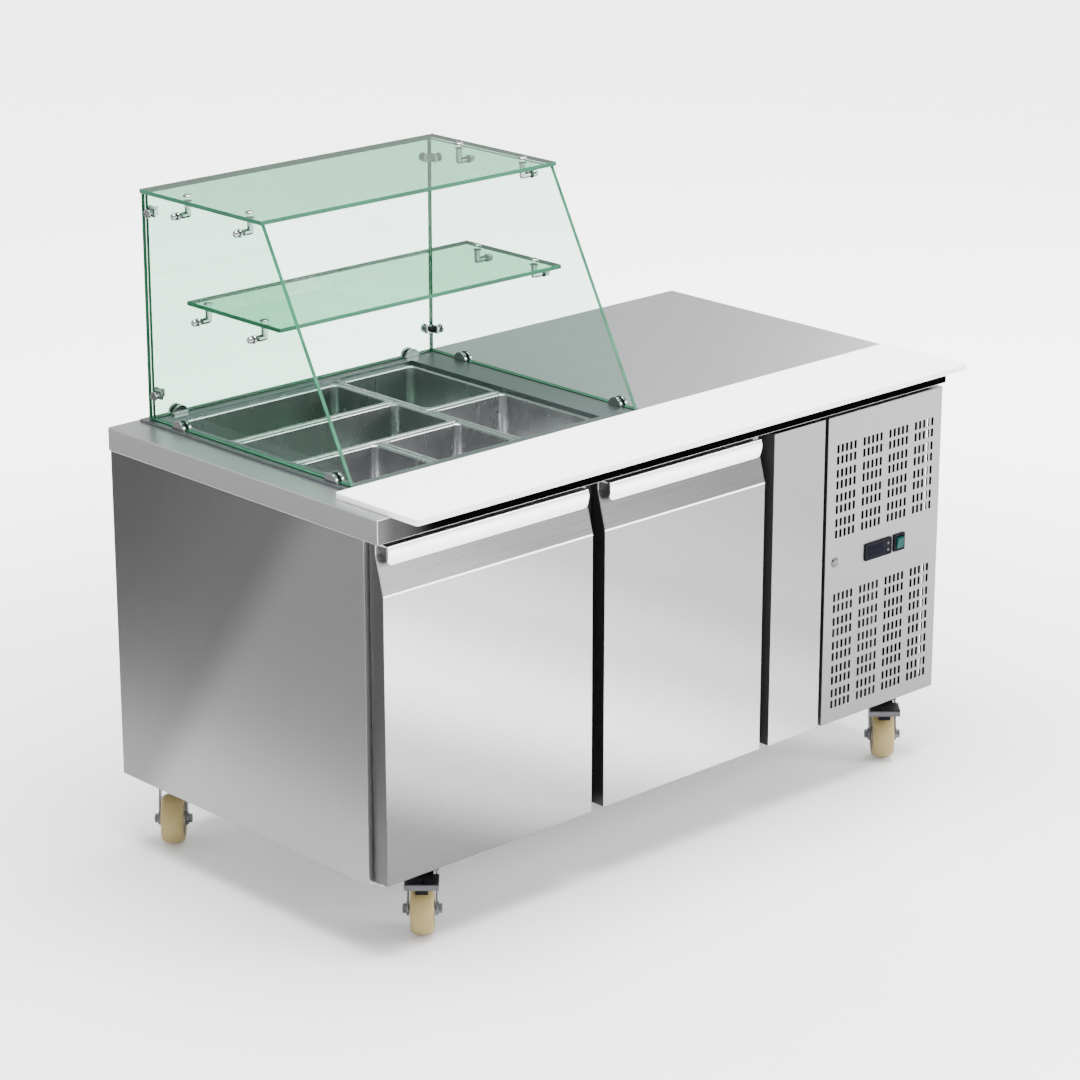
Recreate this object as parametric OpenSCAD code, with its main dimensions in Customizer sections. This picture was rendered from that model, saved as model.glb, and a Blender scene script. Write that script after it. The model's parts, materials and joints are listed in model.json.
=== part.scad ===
// Refrigerated sandwich prep table on castors, with a pan well, a glass display and a cutting board.
// X runs along the front, +Y to the back, Z up. The front faces -Y.

/* [Cabinet] */
// Width of the cabinet body
body_w = 1500; // [1440:10:1900]
// Depth of the cabinet body, from the front frame to the back panel
body_d = 735; // [700:5:900]
// Height of the underside above the floor
underside_z = 146; // [140:1:180]
// Height of the cabinet body
body_h = 658; // [560:1:800]
// Thickness of the outer sheet metal
sheet_t = 1.5; // [1:0.1:2.5]
// Thickness of the base plate that carries the castors
base_t = 3; // [2:0.5:5]
// Thickness of the insulated walls
wall_t = 50; // [35:1:60]
// Thickness of the inner liner
liner_t = 1.2; // [0.8:0.1:2]

/* [Doors and front] */
// Width of the left door
left_door_w = 510; // [400:1:560]
// Width of the right door
right_door_w = 430; // [360:1:480]
// Gap between the two doors, over the centre post
door_gap = 31; // [20:1:60]
// Gap between the left door and the side of the cabinet
door_side_gap = 10; // [4:1:30]
// How far the door faces stand in front of the cabinet
door_proud = 40; // [34:1:60]
// Gap under and over the doors
door_end_gap = 6; // [5:0.5:10]
// Space between the back of a door and the front frame, filled by the gasket
gasket_space = 4; // [3:0.5:8]
// Height of the slanted finger recess at the top of a door
recess_h = 92; // [60:1:130]
// How far the slanted face leans back at its top
recess_depth = 20; // [12:1:20]
// Height of the door handle
handle_h = 36; // [25:1:45]
// Width of the fixed panel between the right door and the grille cover
filler_w = 145; // [60:1:180]
// Gap between the right door and the fixed panel
filler_gap = 25; // [15:1:40]

/* [Grille cover] */
// Width of one slot
slot_w = 7; // [4:0.5:8]
// Height of one slot
slot_h = 17; // [8:0.5:20]
// Sideways spacing of the slots in a group
slot_pitch = 12.5; // [9:0.5:16]
// Slots side by side in one group
slots_per_group = 5; // [2:1:6]
// Rows of slots above the controller
upper_rows = 8; // [2:2:10]
// Rows of slots below the controller
lower_rows = 10; // [2:2:12]
// Width of the controller
controller_w = 79; // [60:1:90]
// Height of the controller and of the rocker switch
controller_h = 36; // [30:1:45]
// Width of the rocker switch
rocker_w = 32; // [22:1:36]

/* [Worktop and board] */
// Thickness of the insulated worktop
worktop_t = 46; // [30:1:60]
// Overhang of the worktop at each side
worktop_side = 5; // [2:1:10]
// Overhang of the worktop in front of the front frame
worktop_front = 44; // [42:1:80]
// Length of the cutting board
board_l = 1460; // [1200:10:1900]
// Depth of the cutting board
board_d = 220; // [180:1:222]
// Thickness of the cutting board
board_t = 12; // [8:0.5:25]
// Distance from the left side of the cabinet to the board
board_left = 24; // [0:1:60]
// How far the board reaches in front of the front frame
board_front = 116; // [60:1:130]

/* [Pans and well] */
// Width of a wide pan
wide_pan_w = 408; // [300:1:420]
// Depth of a wide pan
wide_pan_d = 178; // [150:1:182]
// Width of a pan in the right-hand column
tall_pan_w = 196; // [150:1:220]
// Height of the pans under their rims
pan_depth = 100; // [60:1:150]
// Gap between neighbouring pan rims
pan_gap = 3; // [2:0.5:6]
// Distance from the left side of the cabinet to the pans
well_left = 101; // [90:1:140]
// Distance from the front frame to the pans
well_front = 140; // [134:1:160]
// Height of the well frame above the worktop
frame_rise = 5; // [3:0.5:12]

/* [Glass display] */
// Thickness of the glass
glass_t = 8; // [6:1:10]
// Height of the side panes
glass_h = 436; // [350:1:560]
// Depth of the side panes along their foot
glass_foot = 590; // [560:1:610]
// Depth of the side panes along their top
glass_top_d = 355; // [280:1:420]
// Height of the middle shelf above the worktop
shelf_rise = 247; // [200:1:300]
// Depth of the middle shelf
shelf_d = 272; // [200:1:300]

/* [Castors] */
// Diameter of the wheels
wheel_d = 100; // [80:1:104]
// Width of the wheels
wheel_w = 44; // [30:1:50]
// Distance from the swivel axis to the wheel axle
trail = 30; // [20:1:36]
// Direction that the castors point, turned from the front towards the left
castor_turn = 43; // [0:1:360]
// Distance of the front left castor from the left side
front_left_inset = 165; // [60:1:220]
// Distance of the rear left castor from the left side
rear_left_inset = 90; // [60:1:220]
// Distance of the right castors from the right side
right_inset = 62; // [50:1:220]
// Distance of the castors from the front and the back
castor_inset = 42; // [40:1:120]

/* [Hidden] */
$fn = 64;
touch = 0.4;
cut = 1;
running_fit = 0.05;

// Heights
body_top = underside_z + body_h;
worktop_z = body_top + worktop_t;
board_top = worktop_z + board_t;
door_z0 = underside_z + door_end_gap;
door_z1 = body_top - door_end_gap - 1;
door_face_y = -door_proud;
door_back_y = -gasket_space;
fold_z = door_z1 - recess_h;
slant_z = door_z1 - handle_h / 2;

// Places along the front
left_door_x0 = door_side_gap;
left_door_x1 = left_door_x0 + left_door_w;
right_door_x0 = left_door_x1 + door_gap;
right_door_x1 = right_door_x0 + right_door_w;
filler_x0 = right_door_x1 + filler_gap;
filler_x1 = filler_x0 + filler_w;
cover_gap = 10;
cover_x0 = filler_x1 + cover_gap;
cover_x1 = body_w;
cover_w = cover_x1 - cover_x0;

// Cabinet interior
front_frame_t = 2;
flange_w = 25;
cabinet_x1 = filler_x0 - 2;
room_x0 = sheet_t + wall_t;
room_x1 = cabinet_x1 - wall_t;
room_y1 = body_d - sheet_t - wall_t;
room_z0 = underside_z + base_t + wall_t;
opening_z1 = door_z1 - 28;
post_x0 = left_door_x1 - 15;
post_x1 = right_door_x0 + 15;
post_depth = 36;

// Pan well
ledge_w = 7;
ledge_t = 2;
rim_t = 2;
frame_left = 37;
frame_right = 92;
frame_front = 28;
frame_back = 42;
well_x0 = well_left - 1.5;
column_x = well_left + wide_pan_w + pan_gap / 2;
tall_pan_x = column_x + pan_gap / 2;
well_x1 = tall_pan_x + tall_pan_w + 1.5;
well_y0 = well_front - 1.5;
rows = 3;
row_pitch = wide_pan_d + pan_gap;
well_y1 = well_front + rows * row_pitch - pan_gap + 1.5;
tall_pan_d = (rows * row_pitch - 2 * pan_gap) / 2;
small_pan_w = (wide_pan_w - pan_gap) / 2;
ledge_z = worktop_z - 4;
bar_w = 11;
bar_t = 5;

// Glass display
glass_gap = 1;
glass_z0 = worktop_z + frame_rise + glass_gap;
glass_z1 = glass_z0 + glass_h;
left_glass_x = well_x0 - 24;
right_glass_x = well_x1 + 76;
glass_back = well_y1 + 30;
glass_inner_x0 = left_glass_x + glass_t;
shelf_z = worktop_z + shelf_rise;
shelf_front = glass_back - glass_t - 108 - shelf_d;
shelf_side_gap = 2;
top_overhang = 4;
pin_r = 4;
cap_r = 9;
ball_r = 7;

// Castors
axle_r = 5;
cheek_gap = wheel_w + 6;
cheek_t = 3;
plate_t = 4;
race_h = 5.6;
crown_h = 8;
crown_top = underside_z - plate_t - race_h - touch;
crown_bottom = crown_top - crown_h;
kingpin_r = 6;
pedal_pin_x = 2;
pedal_pin_z = crown_bottom - 12;
pedal_pin_r = 3;
CASTORS = [
    [front_left_inset, castor_inset],
    [body_w - right_inset, castor_inset],
    [rear_left_inset, body_d - castor_inset],
    [body_w - right_inset, body_d - castor_inset]
];

// Hinges
hinge_inset = 8;
hinge_back = (door_proud - gasket_space - recess_depth) / 2;
hinge_y = door_back_y - hinge_back;
hinge_pin_r = 4;
hinge_pin_l = 16;
left_hinge_x = left_door_x0 + hinge_inset;
right_hinge_x = right_door_x1 - hinge_inset;
cover_hinge_x = cover_x1 - hinge_inset;

// Origin: the middle of the outline on the floor
outline_x0 = min(-worktop_side, board_left);
outline_x1 = max(body_w + worktop_side, board_left + board_l);
outline_y0 = min(-board_front, -worktop_front);
centre_x = (outline_x0 + outline_x1) / 2;
centre_y = (outline_y0 + body_d) / 2;

// ---- Shared shapes ----

// A box between two corners
module block(low, high) {
    translate(low) cube(high - low);
}

// A flat outline with round corners, from the origin
module round_outline(w, d, r) {
    translate([r, 0]) square([w - 2 * r, d]);
    translate([0, r]) square([w, d - 2 * r]);
    for (x = [r, w - r], y = [r, d - r]) translate([x, y]) circle(r);
}

// A slab with round upright corners between two corners
module round_slab(low, high, r) {
    size = high - low;
    translate(low) linear_extrude(size[2]) round_outline(size[0], size[1], r);
}

// A cylinder along X from a start point
module rod_x(start, l, r) {
    translate(start) rotate([0, 90, 0]) cylinder(h = l, r = r);
}

// A cylinder along Y from a start point
module rod_y(start, l, r) {
    translate(start) rotate([-90, 0, 0]) cylinder(h = l, r = r);
}

// Moves a piece from the cabinet's front left corner to the part's origin
module in_place() {
    translate([-centre_x, -centre_y, 0]) children();
}

// ---- Cabinet ----

module left_side_panel() {
    color("silver") in_place() {
        block([0, 0, underside_z], [sheet_t, body_d, body_top]);
        block([sheet_t - 0.5, 0, underside_z], [flange_w, sheet_t, body_top]);
    }
}

module right_side_panel() {
    vent_l = 180;
    vent_h = 8;
    vent_pitch = 26;
    vents = 7;
    color("silver") in_place() difference() {
        union() {
            block([body_w - sheet_t, 0, underside_z], [body_w, body_d, body_top]);
            block([body_w - flange_w, 0, underside_z], [body_w - sheet_t + 0.5, sheet_t, body_top]);
        }
        for (row = [0 : vents - 1])
            translate([body_w - sheet_t - cut, body_d / 2 - vent_l / 2, underside_z + 120 + row * vent_pitch])
                cube([sheet_t + 2 * cut, vent_l, vent_h]);
    }
}

module back_panel() {
    vent_w = 240;
    vent_h = 8;
    vent_pitch = 26;
    vents = 12;
    vent_x = (cabinet_x1 + body_w) / 2 - vent_w / 2;
    color("silver") in_place() difference() {
        block([sheet_t, body_d - sheet_t, underside_z], [body_w - sheet_t, body_d, body_top]);
        for (row = [0 : vents - 1])
            translate([vent_x, body_d - sheet_t - cut, underside_z + 80 + row * vent_pitch])
                cube([vent_w, sheet_t + 2 * cut, vent_h]);
    }
}

module base_plate() {
    color("silver") in_place()
        block(
            [sheet_t, front_frame_t, underside_z],
            [body_w - sheet_t, body_d - sheet_t, underside_z + base_t]
        );
}

module cabinet_foam() {
    color("wheat") in_place() difference() {
        block([sheet_t, front_frame_t, underside_z + base_t], [cabinet_x1, body_d - sheet_t, body_top]);
        block([room_x0, front_frame_t - cut, room_z0], [room_x1, room_y1, body_top + cut]);
    }
}

module cabinet_liner() {
    color("lightgray") in_place() difference() {
        block([room_x0, front_frame_t, room_z0], [room_x1, room_y1, body_top]);
        block(
            [room_x0 + liner_t, front_frame_t - cut, room_z0 + liner_t],
            [room_x1 - liner_t, room_y1 - liner_t, body_top + cut]
        );
    }
}

module front_frame() {
    color("dimgray") in_place() {
        difference() {
            block([flange_w + touch, 0, underside_z + 1], [cabinet_x1, front_frame_t, body_top]);
            block([room_x0 + liner_t, -cut, room_z0 + liner_t], [post_x0, front_frame_t + cut, opening_z1]);
            block([post_x1, -cut, room_z0 + liner_t], [room_x1 - liner_t, front_frame_t + cut, opening_z1]);
        }
        block([post_x0, front_frame_t - 0.5, room_z0 + liner_t], [post_x1, post_depth, opening_z1]);
    }
}

module filler_panel() {
    color("silver") in_place() difference() {
        block([filler_x0, door_face_y, door_z0], [filler_x1, 0, door_z1]);
        block(
            [filler_x0 + sheet_t, door_face_y + sheet_t, door_z0 + sheet_t],
            [filler_x1 - sheet_t, cut, door_z1 - sheet_t]
        );
    }
}

// One hinge bracket: a plate from the frame with a pin that points into the door
module hinge_bracket(x, z, up) {
    plate_w = 2 * hinge_inset - 2;
    bracket_t = 3;
    plate_y = hinge_y - 8;
    translate([x - plate_w / 2, plate_y, z]) cube([plate_w, -plate_y, bracket_t]);
    pin_z = up ? z + bracket_t - touch : z - hinge_pin_l + touch;
    translate([x, hinge_y, pin_z]) cylinder(h = hinge_pin_l, r = hinge_pin_r);
}

module hinge_brackets() {
    clear = 1.2;
    color("gray") in_place()
        for (x = [left_hinge_x, right_hinge_x, cover_hinge_x]) {
            hinge_bracket(x, door_z0 - 3 - clear, true);
            hinge_bracket(x, door_z1 + clear, false);
        }
}

// ---- Doors ----

// Side outline of a door, pulled in by a wall
module door_outline(wall) {
    polygon([
        [door_face_y + wall, door_z0 + wall],
        [door_face_y + wall, fold_z],
        [door_face_y + recess_depth + wall, slant_z],
        [door_face_y + recess_depth + wall, door_z1 - wall],
        [door_back_y, door_z1 - wall],
        [door_back_y, door_z0 + wall]
    ]);
}

module door_body(x0, x1, wall) {
    length = x1 - x0 - 2 * wall;
    translate([x0 + wall, 0, 0]) rotate([90, 0, 90]) linear_extrude(length) door_outline(wall);
}

module hinge_bores(x) {
    for (z = [door_z0 - cut, door_z1 - hinge_pin_l - cut])
        translate([x, hinge_y, z]) cylinder(h = hinge_pin_l + 2 * cut, r = hinge_pin_r + running_fit);
}

module door_skin(x0, x1, hinge_x) {
    color("silver") in_place() difference() {
        door_body(x0, x1, 0);
        door_body(x0, x1, sheet_t);
        block([x0 + sheet_t, door_back_y - cut, door_z0 + sheet_t], [x1 - sheet_t, cut, door_z1 - sheet_t]);
        hinge_bores(hinge_x);
    }
}

module door_core(x0, x1, hinge_x) {
    color("gainsboro") in_place() difference() {
        door_body(x0, x1, sheet_t);
        hinge_bores(hinge_x);
    }
}

module door_gasket(x0, x1) {
    gasket_w = 12;
    edge = 12;
    gasket_y = -touch;
    color("black") in_place() difference() {
        block([x0 + edge, door_back_y, door_z0 + edge], [x1 - edge, gasket_y, door_z1 - edge]);
        block(
            [x0 + edge + gasket_w, door_back_y - cut, door_z0 + edge + gasket_w],
            [x1 - edge - gasket_w, cut, door_z1 - edge - gasket_w]
        );
    }
}

// Grip over the recess: a top web, a front lip with a round lower edge and a cheek at each end
module door_handle(x0, x1) {
    side = 12;
    lip_t = 5;
    web_t = 4;
    cheek_l = 3;
    lip_y = door_face_y - 1;
    top_z = door_z1 - 2;
    low_z = top_z - handle_h;
    cheek_z = low_z + lip_t;
    cheek_y = door_face_y + recess_depth * (cheek_z - fold_z) / (slant_z - fold_z);
    color("whitesmoke") in_place() {
        for (x = [x0 + side, x1 - side - cheek_l])
            translate([x, 0, 0]) rotate([90, 0, 90]) linear_extrude(cheek_l) polygon([
                [lip_y + touch, cheek_z],
                [cheek_y, cheek_z],
                [door_face_y + recess_depth, slant_z],
                [door_face_y + recess_depth, top_z],
                [lip_y + touch, top_z]
            ]);
        block([x0 + side, lip_y, low_z + lip_t / 2], [x1 - side, lip_y + lip_t, top_z]);
        rod_x([x0 + side, lip_y + lip_t / 2, low_z + lip_t / 2], x1 - x0 - 2 * side, lip_t / 2);
        block(
            [x0 + side, lip_y + lip_t - 0.5, top_z - web_t],
            [x1 - side, door_face_y + recess_depth, top_z]
        );
    }
}

module left_door_skin() { door_skin(left_door_x0, left_door_x1, left_hinge_x); }
module left_door_core() { door_core(left_door_x0, left_door_x1, left_hinge_x); }
module left_door_gasket() { door_gasket(left_door_x0, left_door_x1); }
module left_door_handle() { door_handle(left_door_x0, left_door_x1); }
module right_door_skin() { door_skin(right_door_x0, right_door_x1, right_hinge_x); }
module right_door_core() { door_core(right_door_x0, right_door_x1, right_hinge_x); }
module right_door_gasket() { door_gasket(right_door_x0, right_door_x1); }
module right_door_handle() { door_handle(right_door_x0, right_door_x1); }

// ---- Grille cover, controller and switch ----

cover_t = 1.5;
cover_return = 28;
grille_margin = 20;
group_gap = 20;
group_w = (slots_per_group - 1) * slot_pitch + slot_w;
groups = max(1, floor((cover_w - 2 * grille_margin + group_gap) / (group_w + group_gap)));
groups_w = groups * group_w + (groups - 1) * group_gap;
groups_x0 = cover_x0 + (cover_w - groups_w) / 2;
row_step = 23.5;
pair_gap = 4;
controls_z = door_z0 + 0.53 * (door_z1 - door_z0);
upper_z0 = controls_z + 50;
lower_z1 = controls_z - 60;
lock_x = cover_x0 + 28;
lock_r = 10;
rocker_x0 = cover_x1 - 105 - rocker_w;
controller_x0 = rocker_x0 - 8 - controller_w;
control_depth = 26;
bezel = 3;

// Slots in pairs of rows, upwards from a height
module slot_rows(z0, row_count) {
    for (g = [0 : groups - 1], i = [0 : slots_per_group - 1], row = [0 : row_count - 1])
        translate([
            groups_x0 + g * (group_w + group_gap) + i * slot_pitch,
            z0 + row * row_step + floor(row / 2) * pair_gap
        ]) square([slot_w, slot_h]);
}

module grille_cover() {
    lower_h = lower_rows * row_step + (lower_rows / 2 - 1) * pair_gap;
    color("silver") in_place() difference() {
        union() {
            translate([0, door_face_y + cover_t, 0]) rotate([90, 0, 0])
                linear_extrude(cover_t) difference() {
                translate([cover_x0, door_z0]) square([cover_w, door_z1 - door_z0]);
                slot_rows(upper_z0, upper_rows);
                slot_rows(lower_z1 - lower_h, lower_rows);
                translate([controller_x0 + bezel, controls_z - controller_h / 2 + bezel])
                    square([controller_w - 2 * bezel, controller_h - 2 * bezel]);
                translate([rocker_x0 + bezel, controls_z - controller_h / 2 + bezel])
                    square([rocker_w - 2 * bezel, controller_h - 2 * bezel]);
            }
            difference() {
                block(
                    [cover_x0, door_face_y + cover_t / 2, door_z0],
                    [cover_x1, door_face_y + cover_return, door_z1]
                );
                block(
                    [cover_x0 + cover_t, door_face_y, door_z0 + cover_t],
                    [cover_x1 - cover_t, door_face_y + cover_return + cut, door_z1 - cover_t]
                );
            }
            for (z = [door_z0 + cover_t / 2, door_z1 - hinge_pin_l - 2])
                block(
                    [cover_hinge_x - 8, hinge_y - 7, z],
                    [cover_x1 - cover_t / 2, hinge_y + 7, z + hinge_pin_l + 1]
                );
        }
        rod_y([lock_x, door_face_y - cut, controls_z], cover_t + 2 * cut, lock_r - 2 + running_fit);
        hinge_bores(cover_hinge_x);
    }
}

// Cam lock: a round face, a barrel through the cover and a short cam behind it
module panel_lock() {
    face_t = 3;
    barrel_l = 16;
    cam_l = 22;
    color("silver") in_place() difference() {
        union() {
            rod_y([lock_x, door_face_y - face_t - 0.2, controls_z], face_t, lock_r);
            rod_y([lock_x, door_face_y - 1, controls_z], barrel_l, lock_r - 2);
            block(
                [lock_x - 5, door_face_y + barrel_l - 4, controls_z - 6],
                [lock_x + 5, door_face_y + barrel_l - 1.5, controls_z + cam_l]
            );
        }
        block([lock_x - 1, door_face_y - 4, controls_z - 4], [lock_x + 1, door_face_y - 1, controls_z + 4]);
    }
}

key_r = 3;
key_x = controller_x0 + controller_w - 12;
key_spread = 7;
key_face = 1.2;

module controller() {
    window_w = 44;
    window_h = 20;
    color("black") in_place() difference() {
        union() {
            block(
                [controller_x0, door_face_y - 4, controls_z - controller_h / 2],
                [controller_x0 + controller_w, door_face_y, controls_z + controller_h / 2]
            );
            block(
                [controller_x0 + bezel + 0.2, door_face_y - 1, controls_z - controller_h / 2 + bezel + 0.2],
                [
                    controller_x0 + controller_w - bezel - 0.2,
                    door_face_y + control_depth,
                    controls_z + controller_h / 2 - bezel - 0.2
                ]
            );
        }
        block(
            [controller_x0 + 8, door_face_y - 4 - cut, controls_z - window_h / 2],
            [controller_x0 + 8 + window_w, door_face_y - 3, controls_z + window_h / 2]
        );
        for (side = [-1, 1])
            rod_y([key_x, door_face_y - 4 - cut, controls_z + side * key_spread], 6 + cut, key_r + 0.3);
    }
}

module controller_key(side) {
    color("white") in_place()
        rod_y([key_x, door_face_y - 4 - key_face, controls_z + side * key_spread], 4 + key_face, key_r);
}

module set_key() { controller_key(1); }
module step_key() { controller_key(-1); }

rocker_pivot_y = door_face_y + 1;
rocker_tilt = 9;
rocker_clear = 0.5;

module rocker_housing() {
    wall = 3;
    color("black") in_place() difference() {
        union() {
            block(
                [rocker_x0, door_face_y - 4, controls_z - controller_h / 2],
                [rocker_x0 + rocker_w, door_face_y, controls_z + controller_h / 2]
            );
            block(
                [rocker_x0 + bezel + 0.2, door_face_y - 1, controls_z - controller_h / 2 + bezel + 0.2],
                [
                    rocker_x0 + rocker_w - bezel - 0.2,
                    door_face_y + control_depth,
                    controls_z + controller_h / 2 - bezel - 0.2
                ]
            );
        }
        block(
            [rocker_x0 + bezel + wall, door_face_y - 4 - cut, controls_z - controller_h / 2 + bezel + 1],
            [rocker_x0 + rocker_w - bezel - wall, door_face_y + 12, controls_z + controller_h / 2 - bezel - 1]
        );
    }
}

module rocker_switch() {
    w = rocker_w - 2 * bezel - 6 - 2 * rocker_clear;
    h = controller_h - 2 * bezel - 2 - 2 * rocker_clear - 4;
    color("mediumseagreen") in_place()
        translate([rocker_x0 + rocker_w / 2, rocker_pivot_y, controls_z]) rotate([rocker_tilt, 0, 0]) {
            translate([-w / 2, -8.5, -h / 2]) cube([w, 9, h]);
            rod_x([-w / 2, 0, 0], w, 4);
        }
}

// ---- Worktop, board, well and pans ----

module worktop() {
    color("lightgray") in_place() difference() {
        block([-worktop_side, -worktop_front, body_top], [body_w + worktop_side, body_d, worktop_z]);
        block([well_x0 - 3, well_y0 - 3, body_top - cut], [well_x1 + 3, well_y1 + 3, worktop_z + cut]);
    }
}

module cutting_board() {
    corner_r = 6;
    color("white") in_place() round_slab(
        [board_left, -board_front, worktop_z],
        [board_left + board_l, board_d - board_front, board_top],
        corner_r
    );
}

// Well frame: flange on the worktop, collar in the hole, ledge for the rims, and the lift-out bars
module well_frame() {
    collar_t = 2;
    collar_h = 12;
    top_z = worktop_z + frame_rise;
    color("slategray") in_place() difference() {
        union() {
            block(
                [well_x0 - frame_left, well_y0 - frame_front, worktop_z],
                [well_x1 + frame_right, well_y1 + frame_back, top_z]
            );
            block(
                [well_x0 - collar_t, well_y0 - collar_t, ledge_z - collar_h],
                [well_x1 + collar_t, well_y1 + collar_t, top_z]
            );
        }
        block([well_x0, well_y0, ledge_z], [well_x1, well_y1, top_z + cut]);
        difference() {
            block(
                [well_x0 + ledge_w, well_y0 + ledge_w, ledge_z - collar_h - cut],
                [well_x1 - ledge_w, well_y1 - ledge_w, ledge_z + cut]
            );
            block([column_x - bar_w / 2, well_y0, ledge_z - bar_t], [column_x + bar_w / 2, well_y1, ledge_z]);
            for (row = [1 : rows - 1])
                row_bar(well_x0, column_x, well_front + row * row_pitch - pan_gap / 2);
            row_bar(column_x, well_x1, well_front + tall_pan_d + pan_gap);
            block(
                [well_left + small_pan_w + pan_gap / 2 - bar_w / 2, well_y0, ledge_z - bar_t],
                [well_left + small_pan_w + pan_gap / 2 + bar_w / 2, well_front + row_pitch, ledge_z]
            );
        }
        difference() {
            block([well_x0, well_y0, ledge_z - collar_h - cut], [well_x1, well_y1, ledge_z - ledge_t]);
            block([well_x0 - cut, well_y0 - cut, ledge_z - bar_t], [well_x1 + cut, well_y1 + cut, ledge_z]);
        }
    }
}

// A support bar along X at one depth
module row_bar(x0, x1, y) {
    block([x0, y - bar_w / 2, ledge_z - bar_t], [x1, y + bar_w / 2, ledge_z]);
}

// Food pan: a flat rim on the ledges and a straight basin below it
module pan(x0, y0, w, d) {
    rim_w = 9;
    rim_r = 8;
    basin_r = 18;
    wall = 1.5;
    rim_z = ledge_z + running_fit;
    color("darkgray") in_place() difference() {
        union() {
            round_slab([x0, y0, rim_z], [x0 + w, y0 + d, rim_z + rim_t], rim_r);
            round_slab(
                [x0 + rim_w, y0 + rim_w, rim_z - pan_depth],
                [x0 + w - rim_w, y0 + d - rim_w, rim_z + rim_t],
                basin_r
            );
        }
        round_slab(
            [x0 + rim_w + wall, y0 + rim_w + wall, rim_z - pan_depth + wall],
            [x0 + w - rim_w - wall, y0 + d - rim_w - wall, rim_z + rim_t + cut],
            basin_r - wall
        );
    }
}

module rear_wide_pan() { pan(well_left, well_front + 2 * row_pitch, wide_pan_w, wide_pan_d); }
module middle_wide_pan() { pan(well_left, well_front + row_pitch, wide_pan_w, wide_pan_d); }
module front_left_pan() { pan(well_left, well_front, small_pan_w, wide_pan_d); }
module front_middle_pan() { pan(well_left + small_pan_w + pan_gap, well_front, small_pan_w, wide_pan_d); }
module rear_right_pan() { pan(tall_pan_x, well_front + tall_pan_d + 1.5 * pan_gap, tall_pan_w, tall_pan_d); }
module front_right_pan() { pan(tall_pan_x, well_front, tall_pan_w, tall_pan_d); }

// ---- Glass display ----

clip_heights = [glass_z0 + 48, glass_z1 - 36];
clip_reach = 26;
top_clamp_y = [glass_back - 110, glass_back - glass_top_d + 62];
top_knob_z = glass_z1 - 26;
shelf_clamp_y = [shelf_front + shelf_d - 46, shelf_front + 62];
shelf_knob_z = shelf_z - 22;
clamp_inset = 16;

// Bores for the clamps through one side pane
module side_pane_bores(x) {
    for (z = clip_heights)
        rod_x([x - cut, glass_back - glass_t - clip_reach / 2, z], glass_t + 2 * cut, pin_r + running_fit);
    for (y = top_clamp_y) rod_x([x - cut, y, top_knob_z], glass_t + 2 * cut, pin_r + running_fit);
    for (y = shelf_clamp_y) rod_x([x - cut, y, shelf_knob_z], glass_t + 2 * cut, pin_r + running_fit);
}

module side_glass(x) {
    color([0.55, 0.8, 0.7, 0.5]) in_place() difference() {
        translate([x, 0, 0]) rotate([90, 0, 90]) linear_extrude(glass_t) polygon([
            [glass_back - glass_foot, glass_z0],
            [glass_back, glass_z0],
            [glass_back, glass_z1],
            [glass_back - glass_top_d, glass_z1]
        ]);
        side_pane_bores(x);
    }
}

module left_glass() { side_glass(left_glass_x); }
module right_glass() { side_glass(right_glass_x); }

module back_glass() {
    color([0.55, 0.8, 0.7, 0.5]) in_place() difference() {
        block(
            [glass_inner_x0 + 1, glass_back - glass_t, glass_z0],
            [right_glass_x - 1, glass_back, glass_z1]
        );
        for (z = clip_heights, x = [glass_inner_x0 + clip_reach / 2, right_glass_x - clip_reach / 2])
            rod_y([x, glass_back - glass_t - cut, z], glass_t + 2 * cut, pin_r + running_fit);
    }
}

module top_glass() {
    color([0.55, 0.8, 0.7, 0.5]) in_place() difference() {
        block(
            [left_glass_x - top_overhang, glass_back - glass_top_d - top_overhang, glass_z1],
            [right_glass_x + glass_t + top_overhang, glass_back, glass_z1 + glass_t]
        );
        for (y = top_clamp_y, x = [glass_inner_x0 + clamp_inset, right_glass_x - clamp_inset])
            translate([x, y, glass_z1 - cut]) cylinder(h = glass_t + 2 * cut, r = pin_r + running_fit);
    }
}

module glass_shelf() {
    color([0.55, 0.8, 0.7, 0.5]) in_place() difference() {
        block(
            [glass_inner_x0 + shelf_side_gap, shelf_front, shelf_z],
            [right_glass_x - shelf_side_gap, shelf_front + shelf_d, shelf_z + glass_t]
        );
        for (y = shelf_clamp_y, x = [glass_inner_x0 + clamp_inset, right_glass_x - clamp_inset])
            translate([x, y, shelf_z - cut]) cylinder(h = glass_t + 2 * cut, r = pin_r + running_fit);
    }
}

// Half-round foot clamp with a slot for the pane; the slot runs along Y
module foot_clamp() {
    cheek = 6;
    foot_r = 17;
    intersection() {
        rod_x([-glass_t / 2 - cheek, 0, 0], glass_t + 2 * cheek, foot_r);
        difference() {
            block([-glass_t / 2 - cheek, -foot_r, 0], [glass_t / 2 + cheek, foot_r, foot_r]);
            block([-glass_t / 2, -foot_r - cut, glass_gap], [glass_t / 2, foot_r + cut, foot_r + cut]);
        }
    }
}

module base_clamps() {
    foot_z = worktop_z + frame_rise;
    side_y = [glass_back - glass_foot + 50, glass_back - 96];
    back_x = [left_glass_x + 66, right_glass_x - 58];
    color("silver") in_place() {
        for (y = side_y, x = [left_glass_x, right_glass_x])
            translate([x + glass_t / 2, y, foot_z]) foot_clamp();
        for (x = back_x)
            translate([x, glass_back - glass_t / 2, foot_z]) rotate([0, 0, 90]) foot_clamp();
    }
}

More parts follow.
